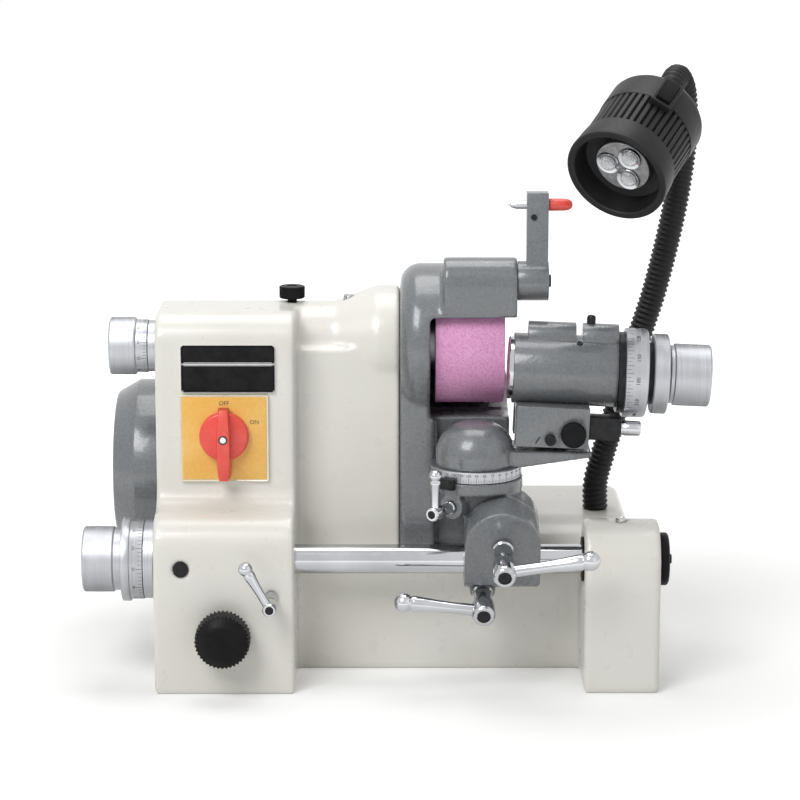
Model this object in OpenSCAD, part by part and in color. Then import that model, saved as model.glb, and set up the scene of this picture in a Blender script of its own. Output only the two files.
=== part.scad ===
// Universal tool and cutter grinder, in millimetres.
// X runs along the slide bar to the right, Y to the back and Z up.
// The origin is on the table, at the centre of the casting's footprint along X.

/* [Casting] */
// Length of the casting's footprint along the bar
footprint_length = 360; // [350:1:380]
// Width of the column along the bar
column_w = 100; // [94:1:106]
// Front face of the column's lower box
column_front_y = -115; // [-120:1:-112]
// Front face of the column's upper box
panel_y = -70; // [-74:1:-68]
// Back face of the column
column_back_y = 110; // [108:1:120]
// Height of the column
column_h = 266; // [264:1:276]
// Height of the column's lower box
lower_box_h = 128; // [124:1:134]
// Wall of the column and the bed
casting_wall = 8; // [6:0.5:9]
// Front wall of the bed
bed_front_y = -54; // [-56:1:-50]
// Back wall of the bed
bed_back_y = 90; // [80:1:100]
// Height of the bed under the guard
bed_h = 88; // [80:1:89]
// Height of the ledge that carries the lamp
ledge_h = 106; // [102:1:110]
// Left end of the lamp ledge
ledge_x = 76; // [72:1:84]
// Width of the end bracket along the bar
end_bracket_w = 54; // [50:1:58]
// Outer radius of the end bracket's arch
end_bracket_r = 29; // [27:0.5:30]
// Length of the spindle housing beside the column
housing_l = 75; // [70:1:76]

/* [Slide bar] */
// Diameter of the slide bar
bar_d = 21; // [18:0.5:22]
// Height of the bar's axis
bar_z = 92; // [91:0.5:94]
// Place of the bar's axis from front to back
bar_y = -85; // [-86:0.5:-84]
// Outer diameter of the thrust sleeve
sleeve_d = 32; // [30:0.5:34]
// Diameter of the bar feed drum
drum_d = 57; // [54:0.5:60]
// Diameter of the bar feed knob
bar_knob_d = 47; // [44:0.5:50]
// Length of the bar feed knob
bar_knob_l = 22; // [18:0.5:26]

/* [Wheel spindle] */
// Height of the spindle axis
spindle_z = 237.5; // [236:0.5:238]
// Place of the spindle axis from front to back
spindle_y = -8; // [-9:0.5:-7]
// Diameter of the quill
quill_d = 40; // [38:0.5:42]
// Diameter of the spindle shaft
shaft_d = 16; // [14:0.5:18]
// Diameter of the grinding wheel
wheel_d = 92; // [84:1:94]
// Width of the grinding wheel
wheel_w = 50; // [44:1:50]
// Free face of the grinding wheel
wheel_face_x = 70.5; // [68:0.5:72]
// Wall of the wheel's cup
cup_wall = 10; // [8:0.5:14]
// Outer radius of the wheel guard
guard_r = 56; // [55:0.5:57]
// Wall of the wheel guard
guard_wall = 5; // [3:0.5:5]
// Diameter of the spindle feed knob
feed_knob_d = 41.5; // [38:0.5:44]
// Length of the spindle feed knob
feed_knob_l = 19; // [16:0.5:22]

/* [Motor] */
// Height of the motor's axis
motor_z = 130; // [128:1:134]
// Place of the motor's axis from front to back
motor_y = 52; // [50:1:53]
// Diameter of the motor
motor_d = 92; // [84:1:94]
// Diameter of the motor cover
motor_cover_d = 125; // [122:1:130]
// Depth of the motor cover
motor_cover_l = 41; // [38:1:46]

/* [Work head] */
// Slope of the head's axis, right end down
head_tilt = 2.5; // [2:0.5:3]
// Place of the head's axis from front to back
head_y = -56; // [-57:0.5:-55]
// Height of the head's axis at the barrel's left end
head_z = 226; // [225:0.5:228]
// Free space between the wheel and the collet nose
nose_clearance = 2; // [1.5:0.5:5]
// Outer radius of the barrel
barrel_r = 25.3; // [24.5:0.1:26]
// Length of the barrel
barrel_l = 74; // [70:1:80]
// Diameter of the work spindle
work_spindle_d = 32; // [28:0.5:34]
// Bore of the collet
collet_bore_d = 12; // [6:0.5:14]
// Radius of the index dial
dial_r = 32; // [31:0.5:32.5]
// Width of the index dial
dial_w = 16.5; // [15:0.5:20]
// Radius of the drawbar knob
drawbar_r = 22.3; // [21:0.1:24]
// Place of the swivel axis along the bar
swivel_x = 49; // [48:0.5:50]
// Place of the swivel axis from front to back
swivel_y = -72; // [-73:0.5:-71]
// Radius of the swivel flange
flange_r = 34; // [33:0.5:34.5]
// Radius of the swivel dome
dome_r = 28.4; // [27:0.1:29]
// Lean of the bar bracket's clamp axes below level
bracket_lean = 15; // [14:0.5:16]
// Radius of the bracket's round head
bracket_r = 26.75; // [26:0.25:27]
// Height of the tilt axis over the bar
tilt_rise = 24; // [23:0.5:24.5]

/* [Lamp] */
// Outer diameter of the lamp hose
hose_d = 19; // [17:0.5:21]
// Number of ribs on the hose
hose_ribs = 100; // [60:1:120]
// Diameter of the lamp housing
lamp_d = 71; // [68:1:74]
// Length of the lamp housing with its bezel
lamp_l = 84; // [80:1:96]
// Dip of the lamp below level
lamp_dip = 29; // [24:1:34]
// Turn of the lamp towards the wheel
lamp_turn = 30; // [24:1:34]

/* [Hidden] */
$fn = 64;

// Cuts run past their faces by this much
overrun = 1;
// Free space between pieces that move past each other
gap = 0.4;
// Radial clearance of a running fit
fit = 0.05;

// Colours
ivory = [0.90, 0.89, 0.85];
grey = [0.42, 0.45, 0.46];
steel = [0.75, 0.76, 0.78];
chrome = [0.85, 0.85, 0.87];
black = [0.09, 0.09, 0.10];
red = [0.85, 0.16, 0.14];
yellow = [0.97, 0.72, 0.22];
pink = [0.85, 0.58, 0.70];
iron = [0.35, 0.35, 0.36];

// A cylinder's own axis turned to run along +X from a place
module along_x(x, y, z) {
    translate([x, y, z]) rotate([0, 90, 0]) children();
}

// A cylinder's own axis turned to run along -Y, towards the operator
module along_front(x, y, z) {
    translate([x, y, z]) rotate([90, 0, 0]) children();
}

// A round bar along X between two places
module round_x(x0, x1, y, z, r) {
    along_x(x0, y, z) cylinder(h = x1 - x0, r = r);
}

// A Y-Z outline drawn out along X
module outline_x(x0, x1) {
    translate([x0, 0, 0]) rotate([90, 0, 90]) linear_extrude(x1 - x0) children();
}

// An X-Z outline drawn out along Y
module outline_y(y0, y1) {
    translate([0, y1, 0]) rotate([90, 0, 0]) linear_extrude(y1 - y0) children();
}

// A box between two corners
module box(low, high) {
    translate(low) cube(high - low);
}

// What lies between a square corner and its rounding: cut off an edge, or added as a fillet
module corner_sliver(x, y, dx, dy, r) {
    difference() {
        translate([dx > 0 ? x - overrun : x - r, dy > 0 ? y - overrun : y - r]) square(r + overrun);
        translate([x + dx * r, y + dy * r]) circle(r);
    }
}

// Casting: column, spindle housing, bed and end bracket
column_x0 = -footprint_length / 2;
column_x1 = column_x0 + column_w;
bracket_x1 = footprint_length / 2;
bracket_x0 = bracket_x1 - end_bracket_w;
ledge_inset = 15;
ledge_x1 = bracket_x1 - ledge_inset;
box_edge_r = 24;
box_fillet_r = 15;
top_edge_r = 22;
roof_crest_y = -4;
roof_drop = 23;
bed_edge_r = 12;
ledge_roll_r = 45;
ledge_end_r = 12;
bar_r = bar_d / 2;
bar_bore_r = bar_r + fit;
sleeve_r = sleeve_d / 2;
bar_boss_wall = 8;
bar_boss_r = sleeve_r + bar_boss_wall;
sleeve_stop = 20;
sleeve_bore_x1 = column_x1 - sleeve_stop;
quill_r = quill_d / 2;
quill_bore_r = quill_r + fit;
quill_boss_l = 20;
housing_r = column_h - spindle_z;
guard_x0 = column_x1 + housing_l;
web_front_y = -44;
web_back_y = 40;
flare_r = 40;
flare_start = 28;
flare_end = 58;
motor_r = motor_d / 2;
motor_hole_gap = 2;
opening_margin = 20;
opening_z0 = 40;
opening_z1 = 230;
feed_y = -46;
feed_z = 240;
feed_boss_r = 16;
feed_boss_l = 18;
feed_screw_r = 5;
stud_r = 3.4;
stud_l = 12;
thumb_x = column_x1 - stud_r - gap;
lever_x = -96;
lever_z = 72;
knob_x = -130;
knob_z = 45;
set_screw_x = -160;
set_screw_r = 5.5;
set_screw_l = 6;
oiler_r = 4;
oiler_l = 8;
oiler_proud = 1.5;
oiler_back = 37.4;
oiler_x = guard_x0 - oiler_back;
bed_oiler_x = (bracket_x0 + bracket_x1) / 2;
seal_r = 16;
seal_l = 6;
cap_r = 19;
cap_l = 7;
hose_r = hose_d / 2;
hose_x = 141;
hose_y = 8;

// Y-Z outline of the column, drawn in from its faces by a depth
module column_outline(depth) {
    front = column_front_y + depth;
    panel = panel_y + depth;
    back = column_back_y - depth;
    shelf = lower_box_h - depth;
    top = column_h - depth;
    difference() {
        union() {
            translate([front, depth]) square([back - front, shelf - depth]);
            translate([panel, depth]) square([back - panel, top - depth]);
            corner_sliver(panel, shelf, -1, 1, box_fillet_r);
        }
        corner_sliver(front, shelf, 1, -1, box_edge_r - depth);
        corner_sliver(panel, top, 1, -1, top_edge_r - depth);
        translate([roof_crest_y, top]) polygon([[0, 0], [column_back_y - roof_crest_y, -roof_drop],
                                                [column_back_y - roof_crest_y, overrun], [0, overrun]]);
    }
}

// Hollow column: lower box for the bar, upper box for the switch and the quill's rear end
module column() {
    color(ivory) difference() {
        outline_x(column_x0, column_x1) column_outline(0);
        difference() {
            outline_x(column_x0 + casting_wall, column_x1 - casting_wall) column_outline(casting_wall);
            round_x(column_x0, column_x1, bar_y, bar_z, bar_boss_r);
            round_x(column_x1 - quill_boss_l, column_x1, spindle_y, spindle_z, housing_r);
            round_x(column_x0, column_x0 + feed_boss_l, feed_y, feed_z, feed_boss_r);
        }
        box([column_x0 + opening_margin, column_back_y - casting_wall - overrun, opening_z0],
            [column_x1 - opening_margin, column_back_y + overrun, opening_z1]);
        round_x(column_x0 - overrun, column_x0 + casting_wall + overrun, motor_y, motor_z,
                motor_r + motor_hole_gap);
        round_x(column_x0 - overrun, sleeve_bore_x1, bar_y, bar_z, sleeve_r + fit);
        round_x(column_x0, column_x1 + overrun, bar_y, bar_z, bar_bore_r);
        round_x(column_x1 - quill_boss_l - overrun, column_x1 + overrun, spindle_y, spindle_z, quill_bore_r);
        round_x(column_x0 - overrun, column_x0 + feed_boss_l + overrun, feed_y, feed_z, feed_screw_r + fit);
        translate([thumb_x, spindle_y, spindle_z]) cylinder(h = column_h, r = stud_r + fit);
        along_front(lever_x, column_front_y + stud_l, lever_z) cylinder(h = stud_l + overrun, r = stud_r + fit);
        along_front(knob_x, column_front_y + stud_l, knob_z) cylinder(h = stud_l + overrun, r = stud_r + fit);
        along_front(set_screw_x, column_front_y + set_screw_l, bar_z)
            cylinder(h = set_screw_l + overrun, r = set_screw_r);
        switch_cut();
    }
}

// Tube that carries the quill, flared towards the guard, on a web that stands on the bed
module spindle_housing() {
    color(ivory) difference() {
        union() {
            round_x(column_x1, guard_x0, spindle_y, spindle_z, housing_r);
            along_x(column_x1 + flare_start, spindle_y, spindle_z)
                cylinder(h = flare_end - flare_start, r1 = housing_r, r2 = flare_r);
            round_x(column_x1 + flare_end, guard_x0, spindle_y, spindle_z, flare_r);
            outline_x(column_x1, guard_x0)
                translate([web_front_y, bed_h]) square([web_back_y - web_front_y, spindle_z - bed_h]);
        }
        box([column_x1 + casting_wall, web_front_y + casting_wall, bed_h - overrun],
            [guard_x0 - casting_wall, web_back_y - casting_wall, spindle_z - flare_r - casting_wall]);
        round_x(column_x1 - overrun, guard_x0 + overrun, spindle_y, spindle_z, quill_bore_r);
        translate([oiler_x, spindle_y, oiler_z - oiler_l]) cylinder(h = column_h, r = oiler_r);
    }
}

flare_share = (oiler_x - column_x1 - flare_start) / (flare_end - flare_start);
oiler_z = spindle_z + housing_r + flare_share * (flare_r - housing_r);

// Bed between the column and the end bracket, with the rolled ledge that carries the lamp
module bed() {
    color(ivory) difference() {
        union() {
            outline_x(column_x1, ledge_x) difference() {
                translate([bed_front_y, 0]) square([bed_back_y - bed_front_y, bed_h]);
                corner_sliver(bed_front_y, bed_h, 1, -1, bed_edge_r);
            }
            intersection() {
                outline_x(ledge_x, ledge_x1) difference() {
                    translate([bed_front_y, 0]) square([bed_back_y - bed_front_y, ledge_h]);
                    corner_sliver(bed_front_y, ledge_h, 1, -1, ledge_roll_r);
                    corner_sliver(bed_back_y, ledge_h, -1, -1, ledge_end_r);
                }
                outline_y(bed_front_y, bed_back_y) difference() {
                    translate([ledge_x, 0]) square([ledge_x1 - ledge_x, ledge_h]);
                    corner_sliver(ledge_x1, ledge_h, -1, -1, ledge_end_r);
                }
            }
        }
        box([column_x1 + casting_wall, bed_front_y + casting_wall, -overrun],
            [-casting_wall / 2, bed_back_y - casting_wall, bed_h - casting_wall]);
        box([casting_wall / 2, bed_front_y + casting_wall, -overrun],
            [ledge_x1 - casting_wall, bed_back_y - casting_wall, bed_h - casting_wall]);
        translate([hose_x, hose_y, ledge_h - casting_wall]) cylinder(h = casting_wall + overrun, r = hose_r / 2);
    }
}

// Arched bracket that carries the right end of the bar
module end_bracket() {
    color(ivory) difference() {
        outline_x(bracket_x0, bracket_x1) {
            translate([bar_y - end_bracket_r, 0]) square([bed_front_y - bar_y + end_bracket_r, bar_z]);
            translate([bar_y, bar_z]) circle(end_bracket_r);
        }
        round_x(bracket_x0 - overrun, bracket_x1 + overrun, bar_y, bar_z, bar_bore_r);
        round_x(bracket_x0 - overrun, bracket_x0 + seal_l, bar_y, bar_z, seal_r);
        translate([bed_oiler_x, bar_y, bar_z + end_bracket_r - oiler_l]) cylinder(h = oiler_l + overrun, r = oiler_r);
    }
}

// Sheet cover over the column's rear opening
cover_margin = 10;
cover_t = 2.5;
module rear_cover() {
    color(ivory) box([column_x0 + cover_margin, column_back_y, opening_z0 - cover_margin],
                     [column_x1 - cover_margin, column_back_y + cover_t, opening_z1 + cover_margin]);
}

// Round cover over the motor, with a chamfered rim
cover_skin = 3;
cover_rim = 18.5;
cover_step = 9.5;
cover_dish = 3;
motor_flange_t = 6;
cover_r = motor_cover_d / 2;
module motor_cover() {
    color(grey) along_x(column_x0 - motor_cover_l, motor_y, motor_z) rotate_extrude() polygon([
        [0, 0],
        [cover_r - cover_step, cover_dish],
        [cover_r, cover_rim],
        [cover_r, motor_cover_l],
        [cover_r - cover_skin, motor_cover_l],
        [cover_r - cover_skin, cover_rim],
        [cover_r - cover_step - cover_skin, cover_dish + cover_skin],
        [0, cover_skin]
    ]);
}

// Motor body with its mounting flange against the column
motor_front = 40;
motor_back = 32;
module motor_stator() {
    color(iron) difference() {
        union() {
            round_x(column_x0 - motor_back, column_x0 + motor_front, motor_y, motor_z, motor_r);
            round_x(column_x0 - motor_flange_t, column_x0, motor_y, motor_z, cover_r - cover_skin);
        }
        round_x(column_x0 - motor_back + motor_flange_t, column_x0 + motor_front + overrun, motor_y, motor_z,
                motor_shaft_r + fit);
    }
}

// Bare black plate on the column's panel
plate_x0 = -161;
plate_w = 67;
plate_h = 34.4;
plate_t = 0.8;
plate_gap = 1.7;
switch_w = 63;
fillet_clear = 3.1;
switch_rise = 2.4;
switch_plate_z0 = lower_box_h + box_fillet_r + fillet_clear;
switch_z = switch_plate_z0 + switch_w / 2 + switch_rise;
plate_z0 = switch_plate_z0 + switch_w + plate_gap;
module nameplate() {
    color(black) box([plate_x0, panel_y - plate_t, plate_z0], [plate_x0 + plate_w, panel_y, plate_z0 + plate_h]);
}

// Rotary switch: plate on the panel, contact block behind it and the handle's stem through both
switch_x = -130.5;
switch_t = 3.5;
switch_block_w = 44;
switch_block_l = 34;
stem_r = 4;
module switch_cut() {
    box([switch_x - switch_block_w / 2, panel_y - overrun, switch_z - switch_block_w / 2],
        [switch_x + switch_block_w / 2, panel_y + casting_wall + overrun, switch_z + switch_block_w / 2]);
}
module switch_plate() {
    color(yellow) difference() {
        box([switch_x - switch_w / 2, panel_y - switch_t, switch_plate_z0],
            [switch_x + switch_w / 2, panel_y, switch_plate_z0 + switch_w]);
        along_front(switch_x, panel_y + overrun, switch_z) cylinder(h = switch_t + 2 * overrun, r = stem_r + fit);
    }
}
module switch_body() {
    color(black) difference() {
        box([switch_x - switch_block_w / 2 + gap, panel_y, switch_z - switch_block_w / 2 + gap],
            [switch_x + switch_block_w / 2 - gap, panel_y + switch_block_l, switch_z + switch_block_w / 2 - gap]);
        along_front(switch_x, panel_y + stem_l, switch_z) cylinder(h = stem_l + overrun, r = stem_r + fit);
    }
}

stem_l = 10;
dial_disc_r = 17.7;
dial_disc_t = 6;
grip_l = 51;
grip_drop = 30.5;
grip_w = 11;
grip_t = 10;
module switch_handle() {
    color(red) along_front(switch_x, panel_y - switch_t - gap, switch_z) {
        cylinder(h = dial_disc_t, r = dial_disc_r);
        translate([-grip_w / 2, -grip_drop, 0]) cube([grip_w, grip_l, dial_disc_t + grip_t]);
        translate([0, 0, -stem_l]) cylinder(h = stem_l, r = stem_r);
    }
}

// Wheel spindle: quill with its bearings, shaft, wheel and pulley
shaft_r = shaft_d / 2;
bearing_r = 15;
bearing_w = 12;
bearing_inset = 1;
lug_w = 10;
lug_r = 9;
lug_gap = 4;
quill_x0 = column_x1 - quill_boss_l - lug_gap - lug_w;
quill_back = 4;
quill_x1 = guard_x0 - quill_back;
module quill() {
    color(steel) difference() {
        union() {
            round_x(quill_x0, quill_x1, spindle_y, spindle_z, quill_r);
            outline_x(quill_x0, quill_x0 + lug_w) {
                translate([feed_y, feed_z - lug_r]) square([spindle_y - feed_y, 2 * lug_r]);
                translate([feed_y, feed_z]) circle(lug_r);
            }
        }
        round_x(quill_x0 - overrun, quill_x1 + overrun, spindle_y, spindle_z, bearing_r);
        round_x(quill_x0 - overrun, quill_x0 + lug_w + overrun, feed_y, feed_z, feed_screw_r + gap);
    }
}

module spindle_bearings() {
    color(chrome) for (x = [quill_x0 + bearing_inset, quill_x1 - bearing_inset - bearing_w])
        difference() {
            round_x(x, x + bearing_w, spindle_y, spindle_z, bearing_r);
            round_x(x - overrun, x + bearing_w + overrun, spindle_y, spindle_z, shaft_r + fit);
        }
}

pulley_r = 16;
pulley_w = 24;
pulley_x1 = quill_x0 - bearing_inset;
pulley_x0 = pulley_x1 - pulley_w;
shaft_tail = 2;
nut_l = 9;
shaft_tip = 1;
wheel_r = wheel_d / 2;
wheel_back_x = wheel_face_x - wheel_w;
wheel_web = 14;
module spindle_shaft() {
    color(steel) round_x(pulley_x0 - shaft_tail, wheel_back_x + wheel_web + nut_l + shaft_tip, spindle_y, spindle_z,
                         shaft_r);
}

// A ring on the spindle shaft
module shaft_ring(x0, x1, r) {
    difference() {
        round_x(x0, x1, spindle_y, spindle_z, r);
        round_x(x0 - overrun, x1 + overrun, spindle_y, spindle_z, shaft_r);
    }
}

flange_disc_r = 22;
flange_disc_t = 7.5;
flange_boss_r = 14;
flange_boss_l = 16;
module wheel_flange() {
    color(steel) union() {
        shaft_ring(wheel_back_x - flange_disc_t, wheel_back_x, flange_disc_r);
        shaft_ring(wheel_back_x - flange_disc_t - flange_boss_l, wheel_back_x - flange_disc_t, flange_boss_r);
    }
}

module grinding_wheel() {
    color(pink) difference() {
        shaft_ring(wheel_back_x, wheel_face_x, wheel_r);
        round_x(wheel_back_x + wheel_web, wheel_face_x + overrun, spindle_y, spindle_z, wheel_r - cup_wall);
    }
}

washer_r = 14;
washer_t = 3;
nut_r = 11;
module wheel_nut() {
    color(steel) difference() {
        union() {
            round_x(wheel_back_x + wheel_web, wheel_back_x + wheel_web + washer_t, spindle_y, spindle_z, washer_r);
            along_x(wheel_back_x + wheel_web, spindle_y, spindle_z) cylinder(h = nut_l, r = nut_r, $fn = 6);
        }
        round_x(wheel_back_x, wheel_back_x + wheel_web + nut_l + overrun, spindle_y, spindle_z, shaft_r);
    }
}

module spindle_pulley() {
    color(iron) shaft_ring(pulley_x0, pulley_x1, pulley_r);
}

// Motor shaft, its pulley and the flat belt to the spindle
motor_shaft_r = 7;
motor_pulley_r = 22;
belt_w = 14;
belt_t = 2.5;
belt_seat = 0.3;
belt_edge = 4;
belt_x1 = pulley_x1 - belt_edge;
belt_x0 = belt_x1 - belt_w;
motor_pulley_x0 = belt_x0 - belt_edge;
motor_pulley_x1 = belt_x1 + belt_edge;
module motor_shaft() {
    color(steel) round_x(column_x0 - motor_back + 2 * motor_flange_t, motor_pulley_x1, motor_y, motor_z,
                         motor_shaft_r);
}
module motor_pulley() {
    color(iron) difference() {
        round_x(motor_pulley_x0, motor_pulley_x1, motor_y, motor_z, motor_pulley_r);
        round_x(motor_pulley_x0 - overrun, motor_pulley_x1 + overrun, motor_y, motor_z, motor_shaft_r);
    }
}

// Outline round both pulleys at a distance from their rims: two circles and their outer tangents
belt_run = [motor_y - spindle_y, motor_z - spindle_z];
belt_span = norm(belt_run);
belt_bearing = atan2(belt_run[1], belt_run[0]);
belt_steps = 20;
module belt_outline(out) {
    r0 = pulley_r + out;
    r1 = motor_pulley_r + out;
    a = acos((r0 - r1) / belt_span);
    translate([spindle_y, spindle_z]) rotate(belt_bearing) {
        polygon(concat(
            [for (i = [0 : belt_steps]) let (t = a + (360 - 2 * a) * i / belt_steps) r0 * [cos(t), sin(t)]],
            [for (i = [0 : belt_steps]) let (t = 2 * a * i / belt_steps - a) [belt_span + r1 * cos(t), r1 * sin(t)]]));
    }
}
module drive_belt() {
    color(black) outline_x(belt_x0, belt_x1) difference() {
        belt_outline(belt_seat + belt_t);
        belt_outline(belt_seat);
    }
}

// Wheel guard: open drum on a pillar, with a skirt below it and the dresser's boss
guard_recess = 4.5;
guard_x1 = wheel_face_x - guard_recess;
guard_side = 12;
shoulder_r = 15;
pillar_front_y = -46;
pillar_back_y = 48;
pillar_l = 25;
pillar_x1 = guard_x0 + pillar_l;
skirt_y = -31;
skirt_x1 = ledge_x - overrun;
skirt_z = 205;
window_in = 21.7;
window_x = guard_x0 + window_in;
window_z0 = 185;
window_z1 = 262;
flange_hole_r = 24;
dresser_y = -40;
dresser_z = 286.3;
dresser_boss_r = 17;
dresser_boss_x0 = 26;
dresser_boss_x1 = 79;
dresser_pin_r = 6;
dresser_hub_l = 22;
module wheel_guard() {
    color(grey) difference() {
        union() {
            along_x(guard_x0, spindle_y, spindle_z) rotate_extrude() difference() {
                square([guard_r, guard_x1 - guard_x0]);
                corner_sliver(guard_r, 0, -1, 1, shoulder_r);
            }
            box([guard_x0, pillar_front_y, bed_h], [pillar_x1, pillar_back_y, spindle_z]);
            box([guard_x0, skirt_y, bed_h], [skirt_x1, pillar_back_y, skirt_z]);
            round_x(dresser_boss_x0, dresser_boss_x1, dresser_y, dresser_z, dresser_boss_r);
            round_x(dresser_boss_x1 - overrun, dresser_boss_x1 + dresser_hub_l, dresser_y, dresser_z, dresser_pin_r);
        }
        round_x(guard_x0 + guard_side, skirt_x1 + overrun, spindle_y, spindle_z, guard_r - guard_wall);
        round_x(guard_x0 - overrun, guard_x0 + guard_side + overrun, spindle_y, spindle_z, flange_hole_r);
        box([window_x, spindle_y - 2 * guard_r, window_z0], [skirt_x1 + overrun, spindle_y, window_z1]);
    }
}

// Diamond dresser on the guard's boss: arm, rod and its red cap
dresser_hub_r = 14.3;
dresser_arm_x = 6;
dresser_arm_w = 15.5;
dresser_arm_t = 14;
dresser_sweep = 55;
dresser_top = 9;
rod_r = 3.1;
rod_tip_l = 6;
rod_tip_gap = 1.1;
rod_x0 = wheel_face_x + rod_tip_gap;
rod_tail = 0.4;
rod_cap_l = 17;
rod_cap_r = 4.5;
dresser_hub_x0 = dresser_boss_x1 + gap;
dresser_arm_x0 = dresser_hub_x0 + dresser_arm_x;
dresser_arm_x1 = dresser_arm_x0 + dresser_arm_w;
module dresser_arm() {
    color(grey) difference() {
        union() {
            round_x(dresser_hub_x0, dresser_hub_x0 + dresser_hub_l, dresser_y, dresser_z, dresser_hub_r);
            box([dresser_arm_x0, dresser_y - dresser_arm_t / 2, dresser_z],
                [dresser_arm_x1, dresser_y + dresser_arm_t / 2, dresser_z + dresser_sweep + dresser_top]);
        }
        round_x(dresser_hub_x0 - overrun, dresser_hub_x0 + dresser_hub_l + overrun, dresser_y, dresser_z,
                dresser_pin_r + fit);
        round_x(dresser_arm_x0 - overrun, dresser_arm_x1 + overrun, dresser_y, dresser_z + dresser_sweep, rod_r + fit);
    }
}
module dresser_rod() {
    color(chrome) along_x(rod_x0, dresser_y, dresser_z + dresser_sweep) {
        cylinder(h = rod_tip_l, r1 = 0, r2 = rod_r);
        translate([0, 0, rod_tip_l]) cylinder(h = dresser_arm_x1 + rod_tail - rod_x0 - rod_tip_l, r = rod_r);
    }
}
module dresser_cap() {
    cap_x0 = dresser_arm_x1 + rod_tail;
    color(red) round_x(cap_x0, cap_x0 + rod_cap_l, dresser_y, dresser_z + dresser_sweep, rod_cap_r);
}

// Spindle feed: knob, thimble and screw in one turned piece, and the fixed sleeves of both feeds
thimble_r = 19;
thimble_l = 8.7;
thimble_sleeve_l = 5;
feed_sleeve_r = 18.5;
feed_sleeve_l = 7;
bar_sleeve_r = 28;
bar_sleeve_bore_r = sleeve_r + gap;
module feed_sleeves() {
    color(steel) {
        difference() {
            round_x(column_x0 - thimble_sleeve_l, column_x0, feed_y, feed_z, feed_sleeve_r);
            round_x(column_x0 - thimble_sleeve_l - overrun, column_x0 + overrun, feed_y, feed_z, feed_screw_r + fit);
        }
        difference() {
            round_x(column_x0 - feed_sleeve_l, column_x0, bar_y, bar_z, bar_sleeve_r);
            round_x(column_x0 - feed_sleeve_l - overrun, column_x0 + overrun, bar_y, bar_z, bar_sleeve_bore_r);
        }
    }
}
thimble_x1 = column_x0 - thimble_sleeve_l - gap;
module spindle_feed_knob() {
    color(steel) {
        round_x(thimble_x1 - thimble_l, thimble_x1, feed_y, feed_z, thimble_r);
        round_x(thimble_x1 - thimble_l - feed_knob_l, thimble_x1 - thimble_l, feed_y, feed_z, feed_knob_d / 2);
        round_x(thimble_x1 - overrun, quill_x0 + lug_w, feed_y, feed_z, feed_screw_r);
    }
}

// Thumb screw that clamps the quill
thumb_r = 9.4;
thumb_h = 9;
thumb_neck = 2;
module thumb_screw() {
    color(black) translate([thumb_x, spindle_y, column_h]) {
        translate([0, 0, gap + thumb_neck]) cylinder(h = thumb_h, r = thumb_r);
        translate([0, 0, spindle_z + quill_r + gap - column_h])
            cylinder(h = column_h - spindle_z - quill_r + thumb_neck + gap, r = stud_r);
    }
}

// Small fixed pieces: screws, oilers, seal and end cap
screw_r = 3.5;
screw_t = 2.5;
cover_screw_inset = 5;
module socket_screws() {
    color(black) {
        round_x(bracket_x1 + cap_l, bracket_x1 + cap_l + screw_t, bar_y, bar_z, screw_r);
        along_front(set_screw_x, column_front_y + set_screw_l, bar_z) cylinder(h = set_screw_l, r = set_screw_r);
        for (x = [column_x0 + cover_margin + cover_screw_inset, column_x1 - cover_margin - cover_screw_inset])
            for (z = [opening_z0 - cover_screw_inset, opening_z1 + cover_screw_inset])
                along_front(x, column_back_y + cover_t + screw_t, z) cylinder(h = screw_t, r = screw_r);
    }
}
module oilers() {
    color(steel) {
        translate([oiler_x, spindle_y, oiler_z - oiler_l]) cylinder(h = oiler_l + oiler_proud, r = oiler_r);
        translate([bed_oiler_x, bar_y, bar_z + end_bracket_r - oiler_l])
            cylinder(h = oiler_l + oiler_proud, r = oiler_r);
    }
}
seal_proud = 1;
seal_gap = 0.3;
module bar_seal() {
    color(black) difference() {
        round_x(bracket_x0 - seal_proud, bracket_x0 + seal_l, bar_y, bar_z, seal_r);
        round_x(bracket_x0 - seal_proud - overrun, bracket_x0 + seal_l + overrun, bar_y, bar_z, bar_r + seal_gap);
    }
}
module end_cap() {
    color(black) round_x(bracket_x1, bracket_x1 + cap_l, bar_y, bar_z, cap_r);
}

// Clamp lever: stud, hub and a tapered handle with a ball, standing on a face with its hub along +Z
handle_thin_share = 0.5;
handle_thick_share = 0.68;
module clamp_lever(hub_l, hub_r, reach, ball_r, turn, stud) {
    color(chrome) {
        translate([0, 0, -stud]) cylinder(h = stud + hub_r, r = stud_r);
        translate([0, 0, gap]) cylinder(h = hub_l, r = hub_r);
        translate([0, 0, gap + hub_l - hub_r]) rotate(turn) rotate([0, 90, 0]) {
            cylinder(h = reach, r1 = ball_r * handle_thin_share, r2 = ball_r * handle_thick_share);
            translate([0, 0, reach]) sphere(ball_r);
        }
    }
}
small_hub_l = 34;
small_hub_r = 5;
small_ball_r = 5;
column_reach = 33;
column_turn = 120;
module column_lever() {
    along_front(lever_x, column_front_y, lever_z)
        clamp_lever(small_hub_l, small_hub_r, column_reach, small_ball_r, column_turn, stud_l - gap);
}

// Knurled knob on the front of the lower box
stop_r = 19.3;
stop_collar_r = 15;
stop_collar_l = 6;
stop_l = 21;
stop_round = 6;
module stop_knob() {
    color(black) along_front(knob_x, column_front_y, knob_z) {
        translate([0, 0, gap - stud_l]) cylinder(h = stud_l, r = stud_r);
        translate([0, 0, gap]) cylinder(h = stop_collar_l, r = stop_collar_r);
        translate([0, 0, gap + stop_collar_l]) rotate_extrude() difference() {
            square([stop_r, stop_l]);
            corner_sliver(stop_r, stop_l, -1, -1, stop_round);
        }
    }
}

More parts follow.
